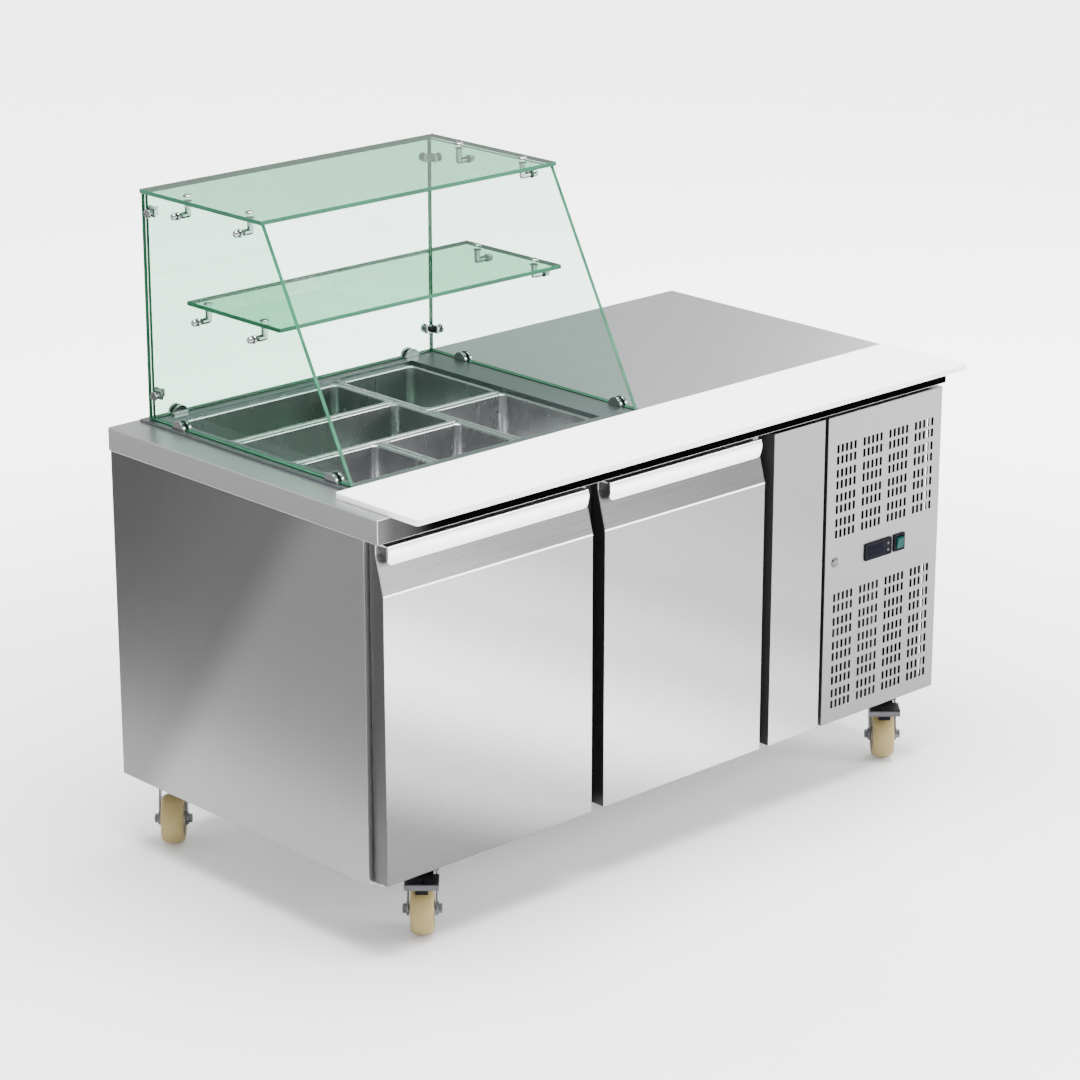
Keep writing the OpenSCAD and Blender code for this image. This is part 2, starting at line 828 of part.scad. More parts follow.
// Corner clip: a block in the inner corner with one screw through each pane
module corner_clip(z, mirrored) {
    size = clip_reach / 2 + 8;
    flat = 3;
    pane_x = mirrored ? right_glass_x : left_glass_x;
    inner_x = mirrored ? right_glass_x : glass_inner_x0;
    side = mirrored ? -1 : 1;
    screw_y = glass_back - glass_t - clip_reach / 2;
    screw_x = inner_x + side * clip_reach / 2;
    inner_y = glass_back - glass_t;
    translate([mirrored ? inner_x - size : inner_x, inner_y - size, z - 8]) difference() {
        cube([size, size, 16]);
        translate([mirrored ? -cut : flat + 3, -cut, -cut])
            cube([size - flat - 3 + cut, size - flat - 3 + cut, 18]);
    }
    rod_x([pane_x + (mirrored ? -0.5 : -4), screw_y, z], glass_t + 4.5, pin_r);
    rod_x([pane_x + (mirrored ? glass_t : -4), screw_y, z], 4, cap_r);
    rod_y([screw_x, inner_y - 0.5, z], glass_t + 4.5, pin_r);
    rod_y([screw_x, glass_back, z], 4, cap_r);
}

module corner_clips() {
    color("silver") in_place()
        for (z = clip_heights, mirrored = [false, true]) corner_clip(z, mirrored);
}

// Pane clamp: cap and pin through the level pane, elbow, and a ball-headed pin through the side pane
module pane_clamp(x, y, pane_z, knob_z, outwards) {
    pane_x = outwards < 0 ? left_glass_x : right_glass_x;
    inner_x = outwards < 0 ? glass_inner_x0 : right_glass_x;
    outer_x = outwards < 0 ? left_glass_x : right_glass_x + glass_t;
    elbow_r = 6;
    ball_gap = 5;
    translate([x, y, knob_z]) cylinder(h = pane_z - knob_z, r = elbow_r);
    translate([x, y, pane_z - 1]) cylinder(h = glass_t + 2, r = pin_r);
    translate([x, y, pane_z + glass_t]) cylinder(h = 4, r = cap_r);
    translate([x, y, knob_z]) sphere(elbow_r);
    rod_x([min(x, inner_x), y, knob_z], abs(x - inner_x), elbow_r);
    rod_x([min(x, outer_x + outwards * ball_gap), y, knob_z], abs(x - outer_x - outwards * ball_gap), pin_r);
    translate([outer_x + outwards * (ball_gap + 4), y, knob_z]) sphere(ball_r);
    rod_x([outwards < 0 ? outer_x - 3 : outer_x, y, knob_z], 3, cap_r - 1);
}

module pane_clamps() {
    color("silver") in_place()
        for (outwards = [-1, 1]) {
            x = outwards < 0 ? glass_inner_x0 + clamp_inset : right_glass_x - clamp_inset;
            for (y = top_clamp_y) pane_clamp(x, y, glass_z1, top_knob_z, outwards);
            for (y = shelf_clamp_y) pane_clamp(x, y, shelf_z, shelf_knob_z, outwards);
        }
}

// ---- Refrigeration ----

floor_z = underside_z + base_t;
fan_r = 96;
coil_x0 = cover_x0 + 16;
coil_w = 2 * fan_r + 40;
coil_z0 = floor_z + 24;
coil_h = coil_w;
coil_y0 = 40;
coil_d = 44;
fan_x = coil_x0 + coil_w / 2;
fan_z = coil_z0 + coil_h / 2;
ring_y0 = coil_y0 + coil_d;
ring_d = 30;
fan_shaft_r = 4;

module compressor() {
    can_r = 80;
    can_h = 170;
    foot_h = 14;
    centre = [(cabinet_x1 + body_w) / 2, body_d - 190, floor_z];
    color("black") in_place() translate(centre) {
        translate([0, 0, foot_h]) rotate_extrude() polygon([
            [0, 0], [can_r - 22, 0], [can_r, 18], [can_r, can_h - 50], [can_r - 18, can_h - 18], [0, can_h]
        ]);
        translate([-100, -70, 0]) cube([200, 140, foot_h + 4]);
        translate([can_r - 8, -28, 60]) cube([34, 56, 60]);
        for (side = [-1, 1])
            translate([side * 34, -30, foot_h + can_h - 40]) cylinder(h = 90, r = 5);
    }
}

// Finned coil with its fan ring, motor and three struts
module condenser_coil() {
    fins = 18;
    fin_gap = 4;
    fin_pitch = coil_w / fins;
    motor_y = ring_y0 + ring_d + 8;
    color("gray") in_place() difference() {
        union() {
            block([coil_x0, coil_y0, coil_z0], [coil_x0 + coil_w, ring_y0 + 3, coil_z0 + coil_h]);
            rod_y([fan_x, ring_y0, fan_z], ring_d, fan_r + 8);
            rod_y([fan_x, motor_y, fan_z], 50, 36);
            for (turn = [0, 120, 240])
                translate([fan_x, motor_y + 10, fan_z]) rotate([0, turn, 0]) {
                    translate([20, -5, -6]) cube([fan_r - 14, 10, 12]);
                    translate([fan_r, -22, -6]) cube([7, 27, 12]);
                }
            block([coil_x0, coil_y0, floor_z], [coil_x0 + 12, ring_y0, coil_z0 + cut]);
            block([coil_x0 + coil_w - 12, coil_y0, floor_z], [coil_x0 + coil_w, ring_y0, coil_z0 + cut]);
        }
        rod_y([fan_x, coil_y0 + coil_d - 1, fan_z], ring_d + 1 + cut, fan_r + 4);
        rod_y([fan_x, motor_y - cut, fan_z], 30, fan_shaft_r + running_fit);
        for (i = [1 : fins - 2])
            block(
                [coil_x0 + i * fin_pitch, coil_y0 - cut, coil_z0 + 8],
                [coil_x0 + i * fin_pitch + fin_gap, coil_y0 + 24, coil_z0 + coil_h - 8]
            );
    }
}

// Fan with flat pitched blades; its shaft turns in the motor. The axis runs along Y from the hub face.
module fan(blade_r, hub_r, shaft_l, blades) {
    hub_l = 18;
    blade_t = 2;
    rod_y([0, 0, 0], hub_l, hub_r);
    rod_y([0, hub_l - 1, 0], shaft_l + 1, fan_shaft_r);
    for (i = [0 : blades - 1])
        rotate([0, i * 360 / blades, 0]) translate([hub_r - 3, hub_l / 2, 0]) rotate([28, 0, 0])
            translate([0, -blade_t / 2, -blade_r * 0.14])
                cube([blade_r - hub_r + 1, blade_t, blade_r * 0.28]);
}

module condenser_fan() {
    color("dimgray") in_place()
        translate([fan_x, ring_y0 + 8, fan_z]) fan(fan_r - 4, 26, 28, 5);
}

evap_x0 = room_x1 - liner_t - 92;
evap_y0 = 230;
evap_l = 330;
evap_z0 = room_z0 + 300;
evap_h = 220;
evap_fan_r = 76;
evap_fan_y = evap_y0 + evap_l / 2;
evap_fan_z = evap_z0 + evap_h / 2;

// Evaporator housing on the partition, with a round mouth for its fan
module evaporator_coil() {
    motor_x = evap_x0 + 34;
    color("white") in_place() difference() {
        block([evap_x0, evap_y0, evap_z0], [room_x1 - liner_t, evap_y0 + evap_l, evap_z0 + evap_h]);
        difference() {
            rod_x([evap_x0 - cut, evap_fan_y, evap_fan_z], 66 + cut, evap_fan_r + 5);
            rod_x([motor_x, evap_fan_y, evap_fan_z], 40, 30);
        }
        rod_x([motor_x - cut, evap_fan_y, evap_fan_z], 25, fan_shaft_r + running_fit);
    }
}

module evaporator_fan() {
    color("dimgray") in_place()
        translate([evap_x0 + 8, evap_fan_y, evap_fan_z]) rotate([0, 0, -90]) fan(evap_fan_r - 3, 22, 22, 5);
}

// ---- Shelves inside ----

rail_z = room_z0 + 220;
rail_reach = 14;
rail_t = 2;
shelf_wire_r = 3;
cross_wire_r = 2;
shelf_y0 = 60;
shelf_y1 = room_y1 - 30;
post_centre = (post_x0 + post_x1) / 2;
divider_x = post_centre;
left_shelf_x0 = room_x0 + liner_t + 5;
left_shelf_x1 = divider_x - 5;
right_shelf_x0 = divider_x + 5;
right_shelf_x1 = room_x1 - liner_t - 5;

// Angle rails on both walls and a double angle on a post in the middle
module shelf_rails() {
    y0 = post_depth + touch;
    y1 = room_y1 - liner_t;
    rail_h = 16;
    color("silver") in_place() {
        for (side = [-1, 1]) {
            wall_x = side < 0 ? room_x0 + liner_t : room_x1 - liner_t;
            tip_x = wall_x - side * rail_reach;
            web_x = wall_x - side * rail_t;
            block([min(wall_x, tip_x), y0, rail_z - rail_t], [max(wall_x, tip_x), y1, rail_z]);
            block(
                [min(wall_x, web_x), y0, rail_z - rail_h],
                [max(wall_x, web_x), y1, rail_z - rail_t + touch]
            );
        }
        block([divider_x - rail_reach, post_depth, rail_z - rail_t], [divider_x + rail_reach, y1, rail_z]);
        block(
            [divider_x - rail_t, post_depth, rail_z - rail_h],
            [divider_x + rail_t, y1, rail_z - rail_t + touch]
        );
    }
}

// Wire shelf: side and end wires with cross wires on top
module wire_shelf(x0, x1) {
    wires = 15;
    z = rail_z + shelf_wire_r + running_fit;
    pitch = (shelf_y1 - shelf_y0) / (wires - 1);
    color("silver") in_place() {
        for (x = [x0 + shelf_wire_r, (x0 + x1) / 2, x1 - shelf_wire_r])
            rod_y([x, shelf_y0 - 4, z], shelf_y1 - shelf_y0 + 8, shelf_wire_r);
        for (i = [0 : wires - 1])
            rod_x([x0 + 1, shelf_y0 + i * pitch, z + shelf_wire_r], x1 - x0 - 2, cross_wire_r);
    }
}

module left_wire_shelf() { wire_shelf(left_shelf_x0, left_shelf_x1); }
module right_wire_shelf() { wire_shelf(right_shelf_x0, right_shelf_x1); }

// ---- Castors ----

// Places one castor's piece; its own frame has the swivel axis at the origin and the wheel towards +X
module at_castor(i) {
    translate([CASTORS[i][0], CASTORS[i][1], 0]) rotate([0, 0, -90 - castor_turn]) children();
}

module castor_plates() {
    plate_w = 78;
    color("gray") in_place()
        for (i = [0 : len(CASTORS) - 1])
            translate([CASTORS[i][0], CASTORS[i][1], 0]) difference() {
                union() {
                    translate([-plate_w / 2, -plate_w / 2, underside_z - plate_t]) linear_extrude(plate_t)
                        round_outline(plate_w, plate_w, 8);
                    translate([0, 0, underside_z - plate_t - race_h]) cylinder(h = race_h + 0.5, r = 26);
                    for (x = [-28, 28], y = [-28, 28])
                        translate([x, y, underside_z - plate_t - 5]) cylinder(h = 5.5, r = 6, $fn = 6);
                }
                translate([0, 0, underside_z - plate_t - race_h - cut])
                    cylinder(h = race_h + plate_t + 2 * cut, r = kingpin_r + running_fit);
            }
}

// Side outline of a fork cheek
module cheek_outline() {
    polygon([
        [-21, crown_bottom + 1], [21, crown_bottom + 1], [21, crown_bottom - 12],
        [trail + 14, wheel_d / 2 + 4], [trail + 14, wheel_d / 2], [trail - 14, wheel_d / 2],
        [trail - 15, wheel_d / 2 + 12], [-21, crown_bottom - 16]
    ]);
    translate([trail, wheel_d / 2]) circle(14);
}

module fork(i) {
    head_l = 9;
    color("dimgray") in_place() at_castor(i) {
        translate([0, 0, crown_bottom]) cylinder(h = crown_h, r = 28);
        translate([-21, -cheek_gap / 2 - cheek_t, crown_bottom]) cube([42, cheek_gap + 2 * cheek_t, 4]);
        translate([0, 0, crown_top - 1]) cylinder(h = race_h + plate_t + 1, r = kingpin_r);
        for (y = [-cheek_gap / 2 - cheek_t, cheek_gap / 2])
            translate([0, y + cheek_t, 0]) rotate([90, 0, 0]) linear_extrude(cheek_t) cheek_outline();
        rod_y([trail, -cheek_gap / 2 - 1, wheel_d / 2], cheek_gap + 2, axle_r);
        for (y = [-cheek_gap / 2 - cheek_t - head_l, cheek_gap / 2 + cheek_t - 0.5])
            translate([trail, y, wheel_d / 2]) rotate([-90, 0, 0]) cylinder(h = head_l + 0.5, r = 9, $fn = 6);
        if (i < 2) rod_y([pedal_pin_x, -cheek_gap / 2 - 1, pedal_pin_z], cheek_gap + 2, pedal_pin_r);
    }
}

module wheel(i) {
    crown = 4;
    r = wheel_d / 2;
    half = wheel_w / 2;
    hub_r = 13;
    hub_half = half + 2;
    color("cornsilk") in_place() at_castor(i)
        translate([trail, 0, r]) rotate([90, 0, 0]) rotate_extrude() polygon([
            [axle_r + running_fit, -hub_half], [hub_r, -hub_half], [hub_r, -half + 8], [r - 14, -half + 8],
            [r - 12, -half], [r - crown - 2, -half], [r - 1, -half * 0.55], [r, -half * 0.25],
            [r, half * 0.25], [r - 1, half * 0.55], [r - crown - 2, half], [r - 12, half],
            [r - 14, half - 8], [hub_r, half - 8], [hub_r, hub_half], [axle_r + running_fit, hub_half]
        ]);
}

// Brake pedal: eye on the fork's pin, neck, wide foot plate with a lip, and a shoe in front of the tread
module pedal(i) {
    neck_w = cheek_gap - 8;
    foot_w = 64;
    tread_t = 3;
    lip_h = 13;
    shoe_h = 20;
    shoe_w = 24;
    reach = trail + 46;
    plate_z = pedal_pin_z - tread_t / 2;
    color("dimgray") in_place() at_castor(i) difference() {
        union() {
            rod_y([pedal_pin_x, -neck_w / 2, pedal_pin_z], neck_w, 6);
            translate([pedal_pin_x, -neck_w / 2, plate_z]) cube([trail - pedal_pin_x, neck_w, tread_t]);
            translate([trail - 3, -foot_w / 2, plate_z]) cube([reach - trail + 3, foot_w, tread_t]);
            translate([reach - tread_t, -foot_w / 2, plate_z + tread_t - lip_h])
                cube([tread_t, foot_w, lip_h]);
            translate([trail + 32, -shoe_w / 2, plate_z - shoe_h]) cube([10, shoe_w, shoe_h + 1]);
        }
        rod_y([pedal_pin_x, -neck_w / 2 - cut, pedal_pin_z], neck_w + 2 * cut, pedal_pin_r + running_fit);
    }
}

module front_left_fork() { fork(0); }
module front_right_fork() { fork(1); }
module rear_left_fork() { fork(2); }
module rear_right_fork() { fork(3); }
module front_left_wheel() { wheel(0); }
module front_right_wheel() { wheel(1); }
module rear_left_wheel() { wheel(2); }
module rear_right_wheel() { wheel(3); }
module front_left_pedal() { pedal(0); }
module front_right_pedal() { pedal(1); }

left_side_panel();
right_side_panel();
back_panel();
base_plate();
cabinet_foam();
cabinet_liner();
front_frame();
filler_panel();
hinge_brackets();
worktop();
well_frame();
left_glass();
right_glass();
back_glass();
top_glass();
glass_shelf();
base_clamps();
corner_clips();
pane_clamps();
compressor();
condenser_coil();
condenser_fan();
evaporator_coil();
evaporator_fan();
shelf_rails();
left_wire_shelf();
right_wire_shelf();
left_door_skin();
left_door_core();
left_door_gasket();
left_door_handle();
right_door_skin();
right_door_core();
right_door_gasket();
right_door_handle();
grille_cover();
panel_lock();
controller();
set_key();
step_key();
rocker_housing();
rocker_switch();
cutting_board();
rear_wide_pan();
middle_wide_pan();
front_left_pan();
front_middle_pan();
rear_right_pan();
front_right_pan();
castor_plates();
front_left_fork();
front_right_fork();
rear_left_fork();
rear_right_fork();
front_left_wheel();
front_right_wheel();
rear_left_wheel();
rear_right_wheel();
front_left_pedal();
front_right_pedal();
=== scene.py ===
# %% [markdown]
# # A refrigerated sandwich prep table
# This counter is built from folded stainless steel sheet around an insulated cold room.
# The CAD frame gives every moving group; each cell below makes one kind of piece for it.
# All lengths in the cells are in millimetres from the front left corner of the cabinet,
# and a small helper turns them into metres in the shared frame.

import json
import math

import bmesh
import bpy
from mathutils import Matrix, Vector

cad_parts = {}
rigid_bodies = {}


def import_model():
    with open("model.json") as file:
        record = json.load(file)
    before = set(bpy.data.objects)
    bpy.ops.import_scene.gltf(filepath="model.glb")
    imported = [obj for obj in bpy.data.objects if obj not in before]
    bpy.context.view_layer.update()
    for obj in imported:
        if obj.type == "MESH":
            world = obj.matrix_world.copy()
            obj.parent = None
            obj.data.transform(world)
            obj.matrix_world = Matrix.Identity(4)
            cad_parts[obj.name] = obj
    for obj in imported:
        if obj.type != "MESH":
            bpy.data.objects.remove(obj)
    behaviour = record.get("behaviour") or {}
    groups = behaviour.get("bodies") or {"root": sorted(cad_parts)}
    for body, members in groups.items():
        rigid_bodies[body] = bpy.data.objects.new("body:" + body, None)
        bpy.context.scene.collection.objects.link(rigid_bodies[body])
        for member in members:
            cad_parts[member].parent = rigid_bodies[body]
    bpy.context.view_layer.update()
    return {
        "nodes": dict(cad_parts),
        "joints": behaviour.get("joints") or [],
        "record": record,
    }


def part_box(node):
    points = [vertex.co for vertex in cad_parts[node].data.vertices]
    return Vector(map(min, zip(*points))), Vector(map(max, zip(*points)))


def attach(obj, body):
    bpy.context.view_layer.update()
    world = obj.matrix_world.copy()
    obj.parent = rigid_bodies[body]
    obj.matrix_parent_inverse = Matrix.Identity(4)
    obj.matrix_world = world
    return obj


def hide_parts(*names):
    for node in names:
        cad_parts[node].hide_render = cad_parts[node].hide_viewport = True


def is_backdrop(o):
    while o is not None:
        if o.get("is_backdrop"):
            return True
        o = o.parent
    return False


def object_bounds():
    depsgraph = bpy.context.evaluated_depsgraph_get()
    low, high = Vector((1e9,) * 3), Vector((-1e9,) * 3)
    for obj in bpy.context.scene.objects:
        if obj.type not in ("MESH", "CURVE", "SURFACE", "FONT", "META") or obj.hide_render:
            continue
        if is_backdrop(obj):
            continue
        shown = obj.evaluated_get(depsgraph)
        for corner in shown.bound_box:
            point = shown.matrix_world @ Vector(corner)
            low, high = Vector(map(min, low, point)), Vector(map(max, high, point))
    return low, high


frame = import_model()
NODES = frame["nodes"]
MM = 0.001
CORNER = Vector((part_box("left_side_panel")[0][0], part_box("left_side_panel")[0][1], 0))


# %% [markdown]
# ## Small tools
# `at` places a point, and `span` reads a CAD node's box in the same millimetres.
# Pieces are made as bmeshes in the frame's own place, so every object sits at the origin.


# %% Points and boxes
def at(x, y, z):
    return CORNER + Vector((x, y, z)) * MM


def span(node):
    low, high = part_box(node)
    return (Vector(low) - CORNER) / MM, (Vector(high) - CORNER) / MM


def body_of_node(node):
    return NODES[node].parent.name.removeprefix("body:")


# %% [markdown]
# ## Finishing a piece
# Real sheet and castings have no knife edges. Smooth shading with weighted normals keeps
# flat faces flat and lets the small rounded edges catch the light.


# %% Turn a bmesh into a finished piece
def finish(name, bm, materials, body, nodes=(), smooth=35):
    bmesh.ops.recalc_face_normals(bm, faces=bm.faces)
    mesh = bpy.data.meshes.new(name)
    bm.to_mesh(mesh)
    bm.free()
    for material in materials if isinstance(materials, (list, tuple)) else [materials]:
        mesh.materials.append(material)
    obj = bpy.data.objects.new(name, mesh)
    bpy.context.scene.collection.objects.link(obj)
    for face in mesh.polygons:
        face.use_smooth = True
    mesh.set_sharp_from_angle(angle=math.radians(smooth))
    weighted = obj.modifiers.new("weighted normals", "WEIGHTED_NORMAL")
    weighted.keep_sharp = True
    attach(obj, body)
    if nodes:
        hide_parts(*nodes)
    return obj


def soften(part, edges, width, segments=3, clamp=False):
    """Rounds edges, with the width in the part's own units."""
    if edges:
        bmesh.ops.bevel(
            part, geom=edges, offset=width, segments=segments, affect="EDGES",
            profile=0.5, clamp_overlap=clamp, material=-1,
        )


def sharp_edges(bm, degrees=30):
    bm.normal_update()
    limit = math.radians(degrees)
    return [e for e in bm.edges if len(e.link_faces) == 2 and e.calc_face_angle() > limit]


# %% [markdown]
# ## Building blocks
# A box, a profile pushed along X, a turned profile and a run of wire cover most of the
# table. A folded panel is a box or profile whose back is removed and given a thickness.


# %% Box, prism and turned shapes
def merge(bm, part, place=None):
    """Moves a part made in mm into a piece, through a place matrix in mm or the cabinet corner."""
    part.transform(Matrix.Translation(CORNER) @ Matrix.Scale(MM, 4) @ (place or Matrix.Identity(4)))
    mesh = bpy.data.meshes.new("part")
    part.to_mesh(mesh)
    part.free()
    bm.from_mesh(mesh)
    bpy.data.meshes.remove(mesh)


def placed(part):
    """A piece that is made of one part."""
    piece = bmesh.new()
    merge(piece, part)
    return piece


def block(low, high):
    """A plain block between two corners in mm."""
    part = bmesh.new()
    bmesh.ops.create_cube(part, size=1)
    low, high = Vector(low), Vector(high)
    for v in part.verts:
        v.co = (low + high) / 2 + Vector(a * b for a, b in zip(v.co, high - low))
    part.normal_update()
    return part


def add_box(bm, low, high, width=1.0, segments=3, upright=0.0, place=None):
    """Adds a block with rounded edges, and with rounder upright corners where they are given."""
    part = block(low, high)
    if upright:
        tall = 0.5 * (high[2] - low[2])
        soften(part, [e for e in part.edges if abs(e.verts[0].co.z - e.verts[1].co.z) > tall], upright, 6)
    if width:
        soften(part, sharp_edges(part, 50), width, segments)
    merge(bm, part, place)


def prism(points, start, end, axis="x"):
    """A closed profile pushed along one axis, in mm. Points are the other two coordinates in order."""
    part = bmesh.new()
    turned = {"x": (2, 0, 1), "y": (0, 2, 1), "z": (0, 1, 2)}[axis]
    outline = [Vector([(a, b, start)[index] for index in turned]) for a, b in points]
    face = part.faces.new([part.verts.new(point) for point in outline])
    made = bmesh.ops.extrude_face_region(part, geom=[face])["geom"]
    step = Vector([(end - start) * (axis == name) for name in "xyz"])
    bmesh.ops.translate(part, verts=[g for g in made if isinstance(g, bmesh.types.BMVert)], vec=step)
    bmesh.ops.recalc_face_normals(part, faces=part.faces)
    return part


def bridge(part, rings, closed=False):
    """Skins a row of rings that all have the same number of corners."""
    loops = [[part.edges.new(pair) for pair in zip(ring, ring[1:] + ring[:1])] for ring in rings]
    for near, far in zip(loops, loops[1:] + (loops[:1] if closed else [])):
        bmesh.ops.bridge_loops(part, edges=near + far)


def add_turned(bm, profile, origin, axis, steps=40, place=None):
    """Turns a profile of (radius, distance along the axis) in mm about an axis through origin."""
    part = bmesh.new()
    axis, origin = Vector(axis).normalized(), Vector(origin)
    side = axis.orthogonal().normalized()
    verts = [part.verts.new(origin + side * r + axis * t) for r, t in profile]
    lines = [part.edges.new(pair) for pair in zip(verts, verts[1:])]
    bmesh.ops.spin(
        part, geom=verts + lines, cent=origin, axis=axis, angle=math.tau, steps=steps, use_merge=True
    )
    bmesh.ops.remove_doubles(part, verts=part.verts, dist=0.001)
    bmesh.ops.recalc_face_normals(part, faces=part.faces)
    merge(bm, part, place)


# %% Copies of CAD nodes with softened edges
def softened(name, node, material, width, segments):
    """A copy of a CAD node's mesh, merged and with rounded edges, that stands for the node."""
    bm = bmesh.new()
    bm.from_mesh(NODES[node].data)
    bmesh.ops.remove_doubles(bm, verts=bm.verts, dist=1e-5)
    bmesh.ops.dissolve_limit(bm, angle_limit=math.radians(0.5), verts=bm.verts, edges=bm.edges)
    soften(bm, sharp_edges(bm, 40), width * MM, segments)
    return finish(name, bm, material, body_of_node(node), [node])


# %% [markdown]
# ## Finishes
# One recipe makes every opaque finish: a stretched noise varies colour and roughness a
# little and lifts the surface, as rolling, brushing or moulding does on the real material.
# A band, where one is given, is a painted sheen and painted shade: a broad soft ramp that scales the colour
# across a large sheet.


# %% One recipe for opaque finishes
def opaque(name, metallic, colour, roughness, grain, vary, rough_vary, bump, shine=0.5, painted_light=None):
    """Grain is one number, or three where the finish is drawn out along an axis. Vary is the share
    by which the colour changes. A band is a direction and its stops of place and tone."""
    material = bpy.data.materials.new(name)
    material.use_nodes = True
    tree = material.node_tree
    nodes, links = tree.nodes, tree.links
    shader = nodes["Principled BSDF"]
    where = nodes.new("ShaderNodeTexCoord")
    mapping = nodes.new("ShaderNodeMapping")
    mapping.inputs["Scale"].default_value = grain if isinstance(grain, tuple) else (grain,) * 3
    noise = nodes.new("ShaderNodeTexNoise")
    noise.inputs["Scale"].default_value = 1.0
    noise.inputs["Detail"].default_value = 5.0
    links.new(where.outputs["Object"], mapping.inputs["Vector"])
    links.new(mapping.outputs["Vector"], noise.inputs["Vector"])
    ramp = nodes.new("ShaderNodeValToRGB")
    ramp.color_ramp.elements[0].position = 0.3
    ramp.color_ramp.elements[1].position = 0.7
    ramp.color_ramp.elements[0].color = [max(0, c * (1 - vary)) for c in colour] + [1]
    ramp.color_ramp.elements[1].color = [min(1, c * (1 + vary)) for c in colour] + [1]
    links.new(noise.outputs["Fac"], ramp.inputs["Fac"])
    tone = ramp.outputs["Color"]
    # Painted light: a ramp of painted sheen and painted shade that scales the colour along one direction.
    if painted_light:
        direction, stops = painted_light
        along = nodes.new("ShaderNodeVectorMath")
        along.operation = "DOT_PRODUCT"
        along.inputs[1].default_value = direction
        share = nodes.new("ShaderNodeMapRange")
        share.inputs["From Min"].default_value = stops[0][0]
        share.inputs["From Max"].default_value = stops[-1][0]
        painted_light_ramp = nodes.new("ShaderNodeValToRGB")
        painted_light_ramp.color_ramp.interpolation = "EASE"
        for index, (place, grey) in enumerate(stops):
            spot = (place - stops[0][0]) / (stops[-1][0] - stops[0][0])
            marks = painted_light_ramp.color_ramp.elements
            ends = {0: 0, len(stops) - 1: -1}
            step = marks[ends[index]] if index in ends else marks.new(spot)
            step.position, step.color = spot, (grey, grey, grey, 1)
        times = nodes.new("ShaderNodeVectorMath")
        times.operation = "MULTIPLY"
        links.new(where.outputs["Object"], along.inputs[0])
        links.new(along.outputs["Value"], share.inputs["Value"])
        links.new(share.outputs["Result"], painted_light_ramp.inputs["Fac"])
        links.new(tone, times.inputs[0])
        links.new(painted_light_ramp.outputs["Color"], times.inputs[1])
        tone = times.outputs["Vector"]
    links.new(tone, shader.inputs["Base Color"])
    rough = nodes.new("ShaderNodeMapRange")
    rough.inputs["To Min"].default_value = max(0.02, roughness - rough_vary)
    rough.inputs["To Max"].default_value = min(1.0, roughness + rough_vary)
    links.new(noise.outputs["Fac"], rough.inputs["Value"])
    links.new(rough.outputs["Result"], shader.inputs["Roughness"])
    if bump:
        lift = nodes.new("ShaderNodeBump")
        lift.inputs["Strength"].default_value = bump
        lift.inputs["Distance"].default_value = 0.001
        links.new(noise.outputs["Fac"], lift.inputs["Height"])
        links.new(lift.outputs["Normal"], shader.inputs["Normal"])
    shader.inputs["Metallic"].default_value = metallic
    shader.inputs["Specular IOR Level"].default_value = shine
    return material


# %% [markdown]
# ## The steels
# Stainless sheet is brushed in long strokes, so its noise is stretched along the stroke:
# along X on the worktop, upright on the cabinet side. Pans are satin from deep drawing.

# %% Steels and other metals
ALONG_X, ALONG_Y, ALONG_Z = (3, 520, 520), (520, 3, 520), (520, 520, 3)
# Painted light on the doors and the filler: a painted sheen brightest at mid height, with painted shade
# towards the bottom and the top.
DOOR_PAINTED_SHEEN_AND_SHADE = (
    (0.47, 0, 1), [(-0.09, 0.2), (0.06, 0.52), (0.22, 1.0), (0.40, 0.56), (0.56, 0.35), (0.82, 0.25)],
)
# Painted shade on the side and back panels, darker towards the back and the top.
SIDE_PAINTED_SHADE = (0, 1.4, 1), [(-0.2, 1.0), (0.5, 1.0), (0.7, 0.56), (1.35, 0.36)]
